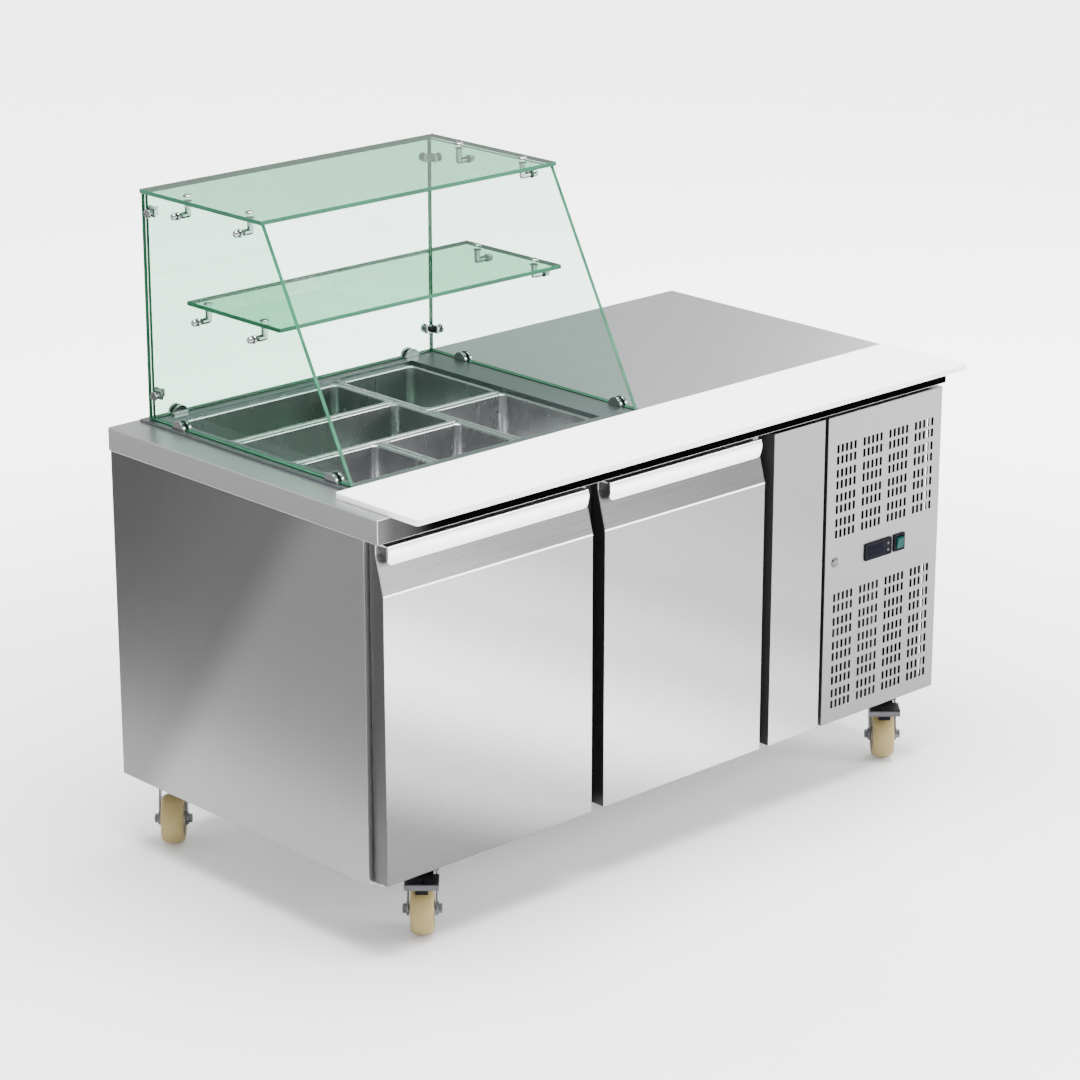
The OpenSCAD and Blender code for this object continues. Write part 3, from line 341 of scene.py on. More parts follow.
# Painted shadow on the worktop's front strip under the board: grey at its open left end, near-black beyond.
STRIP_PAINTED_SHADOW = (1, 0, 0), [(-0.755, 1.0), (-0.71, 0.5), (-0.62, 0.01)]
METALS = {
    "brushed_front": ((0.60, 0.60, 0.61), 0.28, ALONG_X, 0.03, 0.05, 0.03, 0.5, DOOR_PAINTED_SHEEN_AND_SHADE),
    "brushed_cover": ((0.19, 0.19, 0.195), 0.38, ALONG_X, 0.03, 0.05, 0.03),
    # The side steel is the door steel made darker, as painted shade for the dimmer reflection on the sides.
    "brushed_side": ((0.30, 0.30, 0.305), 0.36, ALONG_Z, 0.03, 0.05, 0.03, 0.5, SIDE_PAINTED_SHADE),
    "worktop_steel": ((0.46, 0.46, 0.47), 0.34, ALONG_X, 0.03, 0.05, 0.03),
    # Painted shade: the door steel made darker for the door's side returns and the handle's end cheeks.
    "brushed_return": ((0.11, 0.11, 0.112), 0.4, ALONG_Z, 0.04, 0.05, 0.03),
    "well_steel": ((0.15, 0.165, 0.17), 0.36, ALONG_X, 0.04, 0.05, 0.03),
    "handle_steel": ((0.90, 0.90, 0.91), 0.22, ALONG_X, 0.02, 0.04, 0.02),
    "pan_steel": ((0.46, 0.46, 0.47), 0.27, (40, 40, 10), 0.015, 0.015, 0.0),
    "liner_steel": ((0.68, 0.68, 0.69), 0.38, ALONG_Y, 0.03, 0.05, 0.02),
    "galvanised": ((0.58, 0.59, 0.60), 0.48, 60, 0.14, 0.1, 0.03),
    "castor_zinc": ((0.16, 0.16, 0.165), 0.34, 80, 0.1, 0.08, 0.03),
    "clamp_chrome": ((0.34, 0.34, 0.345), 0.16, 50, 0.02, 0.04, 0.0),
    "lock_chrome": ((0.10, 0.10, 0.105), 0.18, 50, 0.02, 0.04, 0.0),
    "coil_aluminium": ((0.16, 0.16, 0.165), 0.45, (20, 20, 200), 0.06, 0.08, 0.02),
    "copper": ((0.72, 0.38, 0.24), 0.3, 40, 0.1, 0.08, 0.02),
    "pedal_steel": ((0.08, 0.08, 0.085), 0.3, 70, 0.1, 0.08, 0.03),
}
M = {name: opaque(name, 1.0, *values) for name, values in METALS.items()}


# %% [markdown]
# ## Plastics, rubber and foam
# Moulded pieces are even in colour with a faint grain; the cutting board is softer and
# shows faint scratches from cleaning. The worktop's front strip is listed here as well: it is
# a painted shadow under the board, grey at its left end and near-black beyond.

# %% Plastics and rubber
NON_METALS = {
    "front_strip": ((0.10, 0.10, 0.10), 0.7, ALONG_X, 0.04, 0.05, 0.03, 0.0, STRIP_PAINTED_SHADOW),
    "foam": ((0.80, 0.68, 0.42), 0.9, 160, 0.1, 0.05, 0.3),
    "door_liner": ((0.80, 0.80, 0.79), 0.4, 60, 0.02, 0.05, 0.02),
    "dark_frame": ((0.026, 0.026, 0.028), 0.5, 60, 0.06, 0.05, 0.004, 0.12),
    "black_enamel": ((0.02, 0.02, 0.02), 0.3, 60, 0.1, 0.06, 0.03),
    "fan_plastic": ((0.03, 0.03, 0.032), 0.5, 60, 0.1, 0.06, 0.03),
    "white_plastic": ((0.80, 0.80, 0.79), 0.4, 60, 0.02, 0.05, 0.03),
    "wire_coating": ((0.74, 0.74, 0.73), 0.38, 60, 0.02, 0.05, 0.02),
    "gasket_rubber": ((0.025, 0.025, 0.026), 0.62, 90, 0.1, 0.05, 0.04, 0.2),
    "black_plastic": ((0.007, 0.007, 0.010), 0.5, 70, 0.1, 0.06, 0.03, 0.03),
    "display": ((0.004, 0.004, 0.009), 0.5, 30, 0.2, 0.04, 0.0, 0.02),
    "key_plastic": ((0.05, 0.05, 0.07), 0.4, 70, 0.04, 0.05, 0.02, 0.15),
    "green_plastic": ((0.003, 0.045, 0.036), 0.5, 60, 0.12, 0.05, 0.02, 0.1),
    "board_polymer": ((0.90, 0.90, 0.89), 0.42, (240, 12, 60), 0.015, 0.06, 0.03),
    "wheel_tread": ((0.34, 0.26, 0.11), 0.42, 80, 0.05, 0.06, 0.03, 0.3),
    "wheel_core": ((0.36, 0.33, 0.26), 0.5, 60, 0.05, 0.06, 0.03),
    # Near-black painted shade for the gaps by the machine space and the cover's inside.
    "damping": ((0.006, 0.006, 0.006), 0.8, 90, 0.1, 0.05, 0.1, 0.05),
    "brake_rubber": ((0.006, 0.006, 0.006), 0.6, 90, 0.1, 0.05, 0.04, 0.08),
}
M.update({name: opaque(name, 0.0, *values) for name, values in NON_METALS.items()})


# %% [markdown]
# ## Glass
# Float glass is clear through the face and green through the edge, because the edge is
# looked at through its whole width. Faces mix a faint tint with a mirror that grows at
# flat angles; edges get their own deep green.


# %% Glass faces and glass edges
def glass_face(name, tint):
    material = bpy.data.materials.new(name)
    material.use_nodes = True
    nodes, links = material.node_tree.nodes, material.node_tree.links
    nodes.clear()
    out = nodes.new("ShaderNodeOutputMaterial")
    mix = nodes.new("ShaderNodeMixShader")
    clear = nodes.new("ShaderNodeBsdfTransparent")
    clear.inputs["Color"].default_value = (*tint, 1)
    mirror = nodes.new("ShaderNodeBsdfGlossy")
    fresnel = nodes.new("ShaderNodeFresnel")
    fresnel.inputs["IOR"].default_value = 1.45
    side = nodes.new("ShaderNodeNewGeometry")
    outside = nodes.new("ShaderNodeMath")
    outside.operation = "SUBTRACT"
    outside.inputs[0].default_value = 1.0
    only_front = nodes.new("ShaderNodeMath")
    only_front.operation = "MULTIPLY"
    where = nodes.new("ShaderNodeTexCoord")
    noise = nodes.new("ShaderNodeTexNoise")
    noise.inputs["Scale"].default_value = 6.0
    smear = nodes.new("ShaderNodeMapRange")
    smear.inputs["To Min"].default_value = 0.0
    smear.inputs["To Max"].default_value = 0.05
    links.new(where.outputs["Object"], noise.inputs["Vector"])
    links.new(noise.outputs["Fac"], smear.inputs["Value"])
    links.new(smear.outputs["Result"], mirror.inputs["Roughness"])
    links.new(side.outputs["Backfacing"], outside.inputs[1])
    links.new(fresnel.outputs["Fac"], only_front.inputs[0])
    links.new(outside.outputs["Value"], only_front.inputs[1])
    links.new(only_front.outputs["Value"], mix.inputs["Fac"])
    links.new(clear.outputs["BSDF"], mix.inputs[1])
    links.new(mirror.outputs["BSDF"], mix.inputs[2])
    links.new(mix.outputs["Shader"], out.inputs["Surface"])
    return material


M["glass"] = glass_face("glass", (0.80, 0.905, 0.85))
M["glass_level"] = glass_face("glass_level", (0.50, 0.70, 0.59))
M["glass_edge"] = opaque("glass_edge", 0.0, (0.008, 0.085, 0.042), 0.3, (4, 4, 30), 0.3, 0.05, 0.0, 0.2)
print("finishes", len(M))

# %% Every CAD node takes its slot's finish
for row in frame["record"]["subparts"]:
    for place in NODES[row["node"]].material_slots:
        place.material = M[row["material_slot"]]


# %% [markdown]
# ## The cabinet shell
# The side panels, back, base and front frame are folded or laser-cut sheet, so a softened
# copy of each CAD node is enough. Foam fills the walls and a bright liner closes the room.
# The right panel closes the machine space. Its inside, its front flange and the filler panel's
# left side are painted near-black, as painted shade in the gaps beside them.


# %% Panels, frame, foam and liner
for node, slot_name, width in (
    ("left_side_panel", "brushed_side", 0.5), ("right_side_panel", "brushed_side", 0.5),
    ("back_panel", "brushed_side", 0.4), ("base_plate", "galvanised", 0.8),
    ("front_frame", "dark_frame", 0.6), ("hinge_brackets", "galvanised", 0.5),
    ("filler_panel", "brushed_front", 1.2), ("shelf_rails", "liner_steel", 0.4),
    ("cabinet_liner", "liner_steel", 0.4), ("cabinet_foam", "foam", 0.5),
    ("evaporator_coil", "white_plastic", 1.5), ("castor_plates", "castor_zinc", 0.6),
    ("base_clamps", "clamp_chrome", 0.8), ("corner_clips", "clamp_chrome", 0.8),
    ("well_frame", "well_steel", 0.7),
):
    softened(node + "_soft", node, M[slot_name], width, 3)
# Painted shade: near-black faces on the right panel's inside and flange, and the gasket's black on the
# filler's left side, where the gaps fall dark.
for node, gap_shade in (("right_side_panel", "damping"), ("filler_panel", "gasket_rubber")):
    mesh = bpy.data.objects[node + "_soft"].data
    mesh.materials.append(M[gap_shade])
    for face in mesh.polygons:
        forward = face.normal.y < -0.3 and face.normal.x < 0.3 and face.center.y < CORNER.y + MM
        face.material_index = int(face.normal.x < -0.9 or (gap_shade == "damping" and forward))


# %% [markdown]
# ## Worktop
# The top is one folded sheet over an insulated core with a cut-out for the pan well. Its
# edges are rolled, because hands lean on them. The front strip under the board is painted
# dark, as a painted shadow below the board.


# %% Worktop slab with the well cut-out
low, high = span("worktop")
well_low, well_high = span("well_frame")
FRAME_LEFT, FRAME_FRONT, FRAME_RIGHT, FRAME_BACK = 34, 25, 89, 39
hole_low = well_low + Vector((FRAME_LEFT, FRAME_FRONT, 0))
hole_high = well_high - Vector((FRAME_RIGHT, FRAME_BACK, 0))
top = block(low, high)
for axis in (0, 1):
    for side in (hole_low, hole_high):
        normal = Vector((axis == 0, axis == 1, 0))
        bmesh.ops.bisect_plane(
            top, geom=top.verts[:] + top.edges[:] + top.faces[:], plane_co=side, plane_no=normal
        )
top.normal_update()
inside = [
    f for f in top.faces
    if abs(f.normal.z) > 0.9
    and hole_low.x < f.calc_center_median().x < hole_high.x
    and hole_low.y < f.calc_center_median().y < hole_high.y
]
bmesh.ops.delete(top, geom=inside, context="FACES_ONLY")
rim = [e for e in top.edges if e.is_boundary]
bmesh.ops.bridge_loops(top, edges=rim)
bmesh.ops.recalc_face_normals(top, faces=top.faces)


def at_hole(v):
    return hole_low.x - 1 < v.co.x < hole_high.x + 1 and hole_low.y - 1 < v.co.y < hole_high.y + 1


soften(top, [e for e in sharp_edges(top) if not all(at_hole(v) for v in e.verts)], 2.2, 4)
top.normal_update()
# The strip's front faces take the painted shadow.
for f in top.faces:
    f.material_index = int(f.normal.y < -0.9 and f.calc_center_median().y < low.y + 1)
finishes = [M["worktop_steel"], M["front_strip"]]
finish("worktop_top", placed(top), finishes, "cabinet", ["worktop"])


# %% [markdown]
# ## Cutting board
# A loose white board lies over the front of the worktop and reaches past it, so that the
# cook has room in front of the pans. Its edges are routed round.

# %% Board
low, high = span("cutting_board")
piece = bmesh.new()
add_box(piece, low, high, 1.6, 4, upright=6)
finish("cutting_board_white", piece, M["board_polymer"], "board", ["cutting_board"])


# %% [markdown]
# ## Doors
# A door skin is one sheet folded into a tray: the flat face, a slanted finger recess at the
# top, and four returns. The tray is built as a prism whose back is taken off, its folds are
# rounded, and then the sheet gets its 1.5 mm thickness inwards. The crease under the recess
# takes the handle's bright steel as a painted highlight along the fold, and the side returns
# are painted darker as shade.


# %% Door skins
RECESS_H, RECESS_DEPTH, LIP_H = 92, 20, 18


def door_outline(low, high):
    step = low.y + RECESS_DEPTH
    return [
        (low.y, low.z), (low.y, high.z - RECESS_H), (step, high.z - LIP_H), (step, high.z),
        (high.y, high.z), (high.y, low.z),
    ]


def shell(part, thickness):
    """Gives an open sheet its thickness on the inside."""
    bmesh.ops.recalc_face_normals(part, faces=part.faces)
    bmesh.ops.solidify(part, geom=part.faces[:], thickness=thickness)


def door_skin(side):
    node = side + "_door_skin"
    low, high = span(node)
    part = prism(door_outline(low, high), low.x, high.x)
    part.normal_update()
    bmesh.ops.delete(part, geom=[f for f in part.faces if f.normal.y > 0.9], context="FACES_ONLY")
    folds = [e for e in part.edges if len(e.link_faces) == 2 and e.calc_face_angle() > 0.1]
    soften(part, folds, 1.8, 4)
    shell(part, 1.5)
    part.normal_update()
    # Painted light: the side returns take the darker steel as painted shade, and the fold under the recess
    # takes the handle's steel as a painted highlight.
    for f in part.faces:
        middle = f.calc_center_median()
        painted_fold_highlight = abs(middle.z - high.z + RECESS_H) < 2 and middle.y < low.y + 1
        f.material_index = 1 if abs(f.normal.x) > 0.9 else 2 * int(painted_fold_highlight)
    finishes = [M["brushed_front"], M["brushed_return"], M["handle_steel"]]
    finish(node + "_tray", placed(part), finishes, side + "_door", [node])


for side in ("left", "right"):
    door_skin(side)


# %% [markdown]
# ## Door liners and gaskets
# The back of a door is a moulded tray with a raised border, and a soft magnetic gasket is
# pushed into its edge. The gasket is a round bellows on a flat foot, swept round the door.


# %% Door liners
def door_core(side):
    node = side + "_door_core"
    low, high = span(node)
    part = prism(door_outline(low, high), low.x, high.x)
    part.normal_update()
    back = [f for f in part.faces if f.normal.y > 0.9]
    bmesh.ops.inset_region(part, faces=back, thickness=34)
    part.normal_update()
    back = [f for f in part.faces if f.normal.y > 0.9]
    middle = min(back, key=lambda f: (f.calc_center_median() - (low + high) / 2).length)
    bmesh.ops.inset_region(part, faces=[middle], thickness=5, depth=-4)
    creases = [e for e in sharp_edges(part, 20) if all(v.co.y > high.y - 5 for v in e.verts)]
    soften(part, creases, 1.2)
    finish(node + "_liner", placed(part), M["door_liner"], side + "_door", [node])


def gasket(side):
    node = side + "_door_gasket"
    low, high = span(node)
    section = [(0, 0), (0, 1.1), (3, 1.2)]
    for i in range(9):
        turn = math.pi * i / 8
        section.append((6 - 3.2 * math.cos(turn), 1.4 + 2.1 * math.sin(turn)))
    section += [(9, 1.2), (12, 1.1), (12, 0)]
    part = bmesh.new()
    rings = []
    for x, to_x, z, to_z in (
        (low.x, 1, low.z, 1), (high.x, -1, low.z, 1), (high.x, -1, high.z, -1), (low.x, 1, high.z, -1),
    ):
        rings.append([
            part.verts.new((x + to_x * inward, low.y + out, z + to_z * inward)) for inward, out in section
        ])
    bridge(part, rings, closed=True)
    finish(node + "_bellows", placed(part), M["gasket_rubber"], side + "_door", [node])


for side in ("left", "right"):
    door_core(side)
    gasket(side)


# %% [markdown]
# ## Door handles
# Each grip is a full-width extrusion: a slightly domed lip in front, a rolled lower edge to
# curl the fingers round, and a web back to the door. The lower corners of the lip are
# rounded off, so the section is squeezed upwards over the last centimetre at both ends.


# %% Handle extrusion
def handle(side):
    node = side + "_door_handle"
    low, high = span(node)
    front, back, bottom, top_z = low.y, high.y, low.z, high.z
    section = []
    for i in range(13):
        share = i / 12
        bulge = 1.8 * (2 * share - 1) ** 2
        section.append((front + bulge, bottom + 2.5 + (top_z - bottom - 4.5) * share))
    section += [(front + 2.6, top_z - 0.6), (front + 4, top_z), (back, top_z), (back, top_z - 4)]
    section += [(front + 7, top_z - 4), (front + 5.4, top_z - 5.2), (front + 5, top_z - 8)]
    section.append((front + 5, bottom + 2.5))
    for i in range(1, 6):
        turn = math.pi * i / 6
        section.append((front + 3.4 + 1.6 * math.cos(turn), bottom + 2.5 - 2.5 * math.sin(turn)))
    radius, stops = 11, [0, 0.35, 1, 2, 3.5, 5.5, 8, 11]
    width = high.x - low.x
    places = stops + [width - s for s in reversed(stops)]
    part = bmesh.new()
    rings = []
    for s in places:
        from_end = min(s, width - s, radius)
        lift = radius - math.sqrt(radius ** 2 - (radius - from_end) ** 2)
        squeeze = 1 - lift / (top_z - bottom)
        rings.append([part.verts.new((low.x + s, y, top_z - (top_z - z) * squeeze)) for y, z in section])
    bridge(part, rings)
    part.faces.new(rings[0])
    part.faces.new(list(reversed(rings[-1])))
    piece = placed(part)
    skin_y = front + 1 + RECESS_DEPTH * (bottom + 97 - top_z) / (RECESS_H - LIP_H)
    cheek = [
        (front + 3, bottom + 12), (skin_y, bottom + 7), (back, top_z - 16), (back, top_z - 1),
        (front + 3, top_z - 1),
    ]
    # The end cheeks take the darker steel as painted shade at the ends of the finger recess.
    for x in (low.x + 0.2, high.x - 3.2):
        end = prism(cheek, x, x + 3)
        for f in end.faces:
            f.material_index = 1
        merge(piece, end)
    finishes = [M["handle_steel"], M["brushed_return"]]
    finish(node + "_grip", piece, finishes, side + "_door", [node], smooth=50)


for side in ("left", "right"):
    handle(side)


# %% [markdown]
# ## Grille cover
# The machine cover is a sheet with rows of punched slots. Its inside is painted near-black,
# as painted shade behind the slots. The plate is cut by planes, the cells inside slots
# are removed, the border is folded back and the sheet is thickened.


# %% Slot layout
cover_low, cover_high = span("grille_cover")
SLOT_W, SLOT_H, PITCH, PER_GROUP, GROUPS = 7, 17, 12.5, 5, 4
GROUP_W, GROUP_GAP = (PER_GROUP - 1) * PITCH + SLOT_W, 20
ALL_GROUPS_W = GROUPS * GROUP_W + (GROUPS - 1) * GROUP_GAP
ROW_STEP, PAIR_GAP, UPPER_ROWS, LOWER_ROWS = 23.5, 4, 8, 10
first_x = (cover_low.x + cover_high.x - ALL_GROUPS_W) / 2
controls_z = cover_low.z + 0.53 * (cover_high.z - cover_low.z)
upper_z = controls_z + 50
lower_z = controls_z - 60 - LOWER_ROWS * ROW_STEP - (LOWER_ROWS // 2 - 1) * PAIR_GAP
slot_x = [first_x + g * (GROUP_W + GROUP_GAP) + i * PITCH for g in range(GROUPS) for i in range(PER_GROUP)]
slot_z = [
    start + row * ROW_STEP + (row // 2) * PAIR_GAP
    for start, rows in ((upper_z, UPPER_ROWS), (lower_z, LOWER_ROWS)) for row in range(rows)
]
holes = [(x, z, x + SLOT_W, z + SLOT_H) for x in slot_x for z in slot_z]
control_low, control_high = span("controller")
rocker_low, rocker_high = span("rocker_housing")
for a, b in ((control_low, control_high), (rocker_low, rocker_high)):
    holes.append((a.x + 3, a.z + 3, b.x - 3, b.z - 3))
print("slots", len(holes) - 2)

# %% Cover plate, folded and thickened
face_y = control_low.y + 4
part = bmesh.new()
bmesh.ops.create_grid(part, x_segments=1, y_segments=1, size=0.5)
for v in part.verts:
    v.co = Vector((
        cover_low.x if v.co.x < 0 else cover_high.x, face_y, cover_low.z if v.co.y < 0 else cover_high.z,
    ))
for index, normal in ((0, (1, 0, 0)), (1, (0, 0, 1))):
    for value in sorted({h[index] for h in holes} | {h[index + 2] for h in holes}):
        point = Vector(normal) * value
        bmesh.ops.bisect_plane(
            part, geom=part.verts[:] + part.edges[:] + part.faces[:], plane_co=point, plane_no=normal
        )
open_cells = [
    f for f in part.faces
    if any(h[0] < f.calc_center_median().x < h[2] and h[1] < f.calc_center_median().z < h[3] for h in holes)
]
bmesh.ops.delete(part, geom=open_cells, context="FACES")
sides = [(axis, limit[axis]) for axis in (0, 2) for limit in (cover_low, cover_high)]
border = [
    e for e in part.edges
    if e.is_boundary and any(all(abs(v.co[axis] - limit) < 0.01 for v in e.verts) for axis, limit in sides)
]
folded = bmesh.ops.extrude_edge_only(part, edges=border)["geom"]
return_d = Vector((0, cover_high.y - face_y, 0))
bmesh.ops.translate(part, verts=[g for g in folded if isinstance(g, bmesh.types.BMVert)], vec=return_d)
bmesh.ops.recalc_face_normals(part, faces=part.faces)
soften(part, sharp_edges(part), 1.8, 4)
shell(part, 1.4)
# The inner faces take the near-black painted shade seen through the slots.
for f in part.faces:
    middle = f.calc_center_median()
    inside = all(cover_low[axis] + 1 < middle[axis] < cover_high[axis] - 1 for axis in (0, 2))
    f.material_index = int(inside and middle.y > face_y + 0.4)
piece = placed(part)
for z in (cover_low.z + 0.8, cover_high.z - 18):
    add_box(piece, (cover_high.x - 16, face_y + 21, z), (cover_high.x - 0.8, face_y + 35, z + 17), 1)
finishes = [M["brushed_cover"], M["damping"]]
finish("grille_cover_sheet", piece, finishes, "cover", ["grille_cover"])


# %% [markdown]
# ## Controls
# The temperature controller and the rocker switch snap into cut-outs of the cover, so each
# has a bezel that overlaps the sheet. The bezel's face is inset and pushed back a little. The
# lock's face is a turned dome, so that it catches a small round highlight.


# %% Bezels, display, keys, rocker and lock
def bezel(node, inset, depth):
    low, high = span(node)
    thick = 4
    part = block(low, (high.x, low.y + thick, high.z))
    centre = Vector(((low.x + high.x) / 2, low.y + thick / 2, (low.z + high.z) / 2))
    soften(part, [e for e in part.edges if abs(e.verts[0].co.y - e.verts[1].co.y) > 1], 3, 5)
    part.normal_update()
    front = [f for f in part.faces if f.normal.y < -0.9]
    outline = list(front[0].edges)
    bmesh.ops.inset_region(part, faces=front, thickness=inset)
    front = [f for f in part.faces if f.normal.y < -0.9]
    middle = min(front, key=lambda f: (f.calc_center_median() - centre).length)
    bmesh.ops.inset_region(part, faces=[middle], thickness=0.5, depth=-depth)
    soften(part, outline, 1.1)
    piece = placed(part)
    add_box(piece, (low.x + 3.2, low.y + 3, low.z + 3.2), (high.x - 3.2, high.y, high.z - 3.2), 0.8)
    return piece


piece = bezel("controller", 3, 0.9)
finish("controller_case", piece, M["black_plastic"], "cover", ["controller"])
window = bmesh.new()
add_box(
    window, (control_low.x + 8, control_low.y + 0.35, controls_z - 11),
    (control_low.x + 54, control_low.y + 1.4, controls_z + 11), 0.4, 2,
)
finish("controller_window", window, M["display"], "cover", ())
for node in ("set_key", "step_key"):
    softened(node + "_cap", node, M["key_plastic"], 0.5, 3)
softened("rocker_frame", "rocker_housing", M["black_plastic"], 0.9, 3)
softened("rocker_paddle", "rocker_switch", M["green_plastic"], 1.3, 4)
lock_low, lock_high = span("panel_lock")
lock_x, lock_r = (lock_low.x + lock_high.x) / 2, (lock_high.x - lock_low.x) / 2
dome = []
for turn in (math.pi * i / 20 for i in range(11)):
    dome.append((lock_r * math.sin(turn), 2.4 * (1 - math.cos(turn))))
dome += [(lock_r, 3.1), (lock_r - 2, 3.2), (lock_r - 2, 18.2), (0, 18.2)]
lock = bmesh.new()
add_turned(lock, dome, (lock_x, lock_low.y, controls_z), (0, 1, 0), 48)
cam_y = lock_high.y - 3.7
add_box(lock, (lock_x - 5, cam_y, controls_z - 6), (lock_x + 5, cam_y + 2.5, lock_high.z), 0.4)
add_box(lock, (lock_x - 1, lock_low.y, controls_z - 4), (lock_x + 1, lock_low.y + 1, controls_z + 4), 0.1)
finish("panel_lock_turned", lock, M["lock_chrome"], "lock", ["panel_lock"])


# %% [markdown]
# ## Glass display
# The panes are 8 mm float glass with arrissed edges. Each one is its outline pushed through
# its thickness; the two broad faces get the clear finish and the rest the green edge.


# %% Panes
def pane(name, node, points, start, end, axis, face_material):
    part = prism(points, start, end, axis)
    soften(part, part.edges[:], 0.7, 1)
    part.normal_update()
    index = "xyz".index(axis)
    for f in part.faces:
        f.material_index = 0 if abs(f.normal[index]) > 0.98 else 1
    finish(name, placed(part), [face_material, M["glass_edge"]], "cabinet", [node], smooth=20)


def oblong(low, high, u, v):
    """The outline of a box along two of its axes."""
    return [(low[u], low[v]), (high[u], low[v]), (high[u], high[v]), (low[u], high[v])]


glass_low, glass_high = span("left_glass")
TOP_GLASS_D = 355
shoulder = glass_high.y - TOP_GLASS_D
side_outline = oblong(glass_low, glass_high, 1, 2)[:3] + [(shoulder, glass_high.z)]
for node in ("left_glass", "right_glass"):
    low, high = span(node)
    pane(node + "_pane", node, side_outline, low.x, high.x, "x", M["glass"])
low, high = span("back_glass")
pane("back_glass_pane", "back_glass", oblong(low, high, 0, 2), low.y, high.y, "y", M["glass"])
for node in ("top_glass", "glass_shelf"):
    low, high = span(node)
    pane(node + "_pane", node, oblong(low, high, 0, 1), low.z, high.z, "z", M["glass_level"])


# %% [markdown]
# ## Pane clamps
# A level pane rests on four turned posts. A domed cap is screwed down through the glass,
# an elbow leads out through the side pane, and a ball knob outside pulls it tight. All
# eight clamps are alike, so one function places them.


# %% Clamps
POST_R, POST_IN, KNOB_R = 6, 16, 7


def half_turn(radius, along, steps):
    """The profile of a ball whose middle is a distance along the axis."""
    turns = [math.pi * i / steps for i in range(steps + 1)]
    return [(radius * math.sin(turn), along - radius * math.cos(turn)) for turn in turns]


def pane_clamp(piece, x, y, under, knob_z, outer, side):
    drop = under - knob_z
    cap = [(0, 4), (4, 3.9), (7, 3.3), (8.6, 2), (9, 0.6), (9, 0), (0, 0)]
    post = [(0, 0), (8.2, 0), (8.4, 0.6), (8.2, 1.6), (POST_R, 2.4)]
    post += [(POST_R, drop - 2), (POST_R, drop), (0, drop)]
    arm = [(0, 0), (POST_R, 0), (POST_R, POST_IN), (0, POST_IN)]
    washer = [(0, 0), (8, 0), (8, 1.8), (7.2, 3), (4, 3), (4, 7), (0, 7)]
    add_turned(piece, cap, (x, y, under + 8), (0, 0, 1), 32)
    add_turned(piece, post, (x, y, under), (0, 0, -1), 32)
    add_turned(piece, half_turn(POST_R, 0, 12), (x, y, knob_z), (0, 0, 1), 24)
    add_turned(piece, arm, (x, y, knob_z), (side, 0, 0), 24)
    add_turned(piece, washer, (outer, y, knob_z), (side, 0, 0), 24)
    add_turned(piece, half_turn(KNOB_R, KNOB_R + 2, 16), (outer, y, knob_z), (side, 0, 0), 32)


shelf_low, shelf_high = span("glass_shelf")
top_places = (glass_high.y - 110, glass_high.y - 293)
shelf_places = (shelf_high.y - 46, shelf_low.y + 62)
piece = bmesh.new()
for node, side in (("left_glass", -1), ("right_glass", 1)):
    low, high = span(node)
    inner, outer = (high.x, low.x) if side < 0 else (low.x, high.x)
    for under, drop, places in ((glass_high.z, 26, top_places), (shelf_low.z, 22, shelf_places)):
        for y in places:
            pane_clamp(piece, inner - side * POST_IN, y, under, under - drop, outer, side)
finish("pane_clamps_turned", piece, M["clamp_chrome"], "cabinet", ["pane_clamps"])


# %% [markdown]
# ## Food pans
# Gastronorm pans are deep-drawn: a flat rim with a rolled edge, corners with a generous
# radius, walls that lean in a little and a rounded floor. A pan is a stack of round-cornered
# loops bridged from the rim down, closed at the floor and given its sheet thickness.


# %% Pans
def corner_loop(part, low, high, inset, radius, z, steps=7):
    """A level loop of points with four round corners."""
    left, right = low.x + inset + radius, high.x - inset - radius
    front, back = low.y + inset + radius, high.y - inset - radius
    points = []
    for x, y, start in ((right, back, 0), (left, back, 90), (left, front, 180), (right, front, 270)):
        for i in range(steps + 1):
            turn = math.radians(start + 90 * i / steps)
            points.append(part.verts.new((x + radius * math.cos(turn), y + radius * math.sin(turn), z)))
    return points


def food_pan(node):
    low, high = span(node)
    rim, curve_z = high.z, low.z + 15
    levels = [(0.0, 8, rim - 1.9), (0.15, 8, rim - 0.9), (0.9, 7.4, rim - 0.15), (1.8, 7, rim)]
    levels += [(7.5, 15, rim), (8.8, 15.5, rim - 0.4), (9.9, 15.5, rim - 1.6), (10.2, 15.6, rim - 3.4)]
    levels += [(11.0, 16, rim - 20), (13.4, 16, curve_z)]
    for i in range(1, 6):
        turn = math.radians(90 * i / 5)
        levels.append((13.4 + 12 * (1 - math.cos(turn)), 16, curve_z - 13.2 * math.sin(turn)))
    part = bmesh.new()
    loops = [corner_loop(part, low, high, *level) for level in levels]
    bridge(part, loops)
    part.faces.new(loops[-1])
    bmesh.ops.recalc_face_normals(part, faces=part.faces)
    floor = max(part.faces, key=lambda f: len(f.verts))
    if floor.normal.z < 0:
        bmesh.ops.reverse_faces(part, faces=part.faces[:])
    bmesh.ops.solidify(part, geom=part.faces[:], thickness=0.9)
    finish(node + "_drawn", placed(part), M["pan_steel"], body_of_node(node), [node], smooth=50)


for name in ("rear_wide", "middle_wide", "front_left", "front_middle", "rear_right", "front_right"):
    food_pan(name + "_pan")


# %% [markdown]
# ## Castors
# Each castor is built in its own place: the swivel axis at the origin and the wheel towards
# +X. The place is then turned and moved under the cabinet with one matrix.


# %% Castor places
SWIVEL_TURN = math.radians(-133)
CASTORS = {}
for name in ("front_left", "front_right", "rear_left", "rear_right"):
    joint = next(j for j in frame["joints"] if j["name"] == name + "_swivel_turn")
    pivot = (Vector(joint["pos_m"]) - CORNER) / MM
    CASTORS[name] = Matrix.Translation((pivot.x, pivot.y, 0)) @ Matrix.Rotation(SWIVEL_TURN, 4, "Z")
TRAIL, AXLE_Z, CROWN_Z = 30, 50, 128


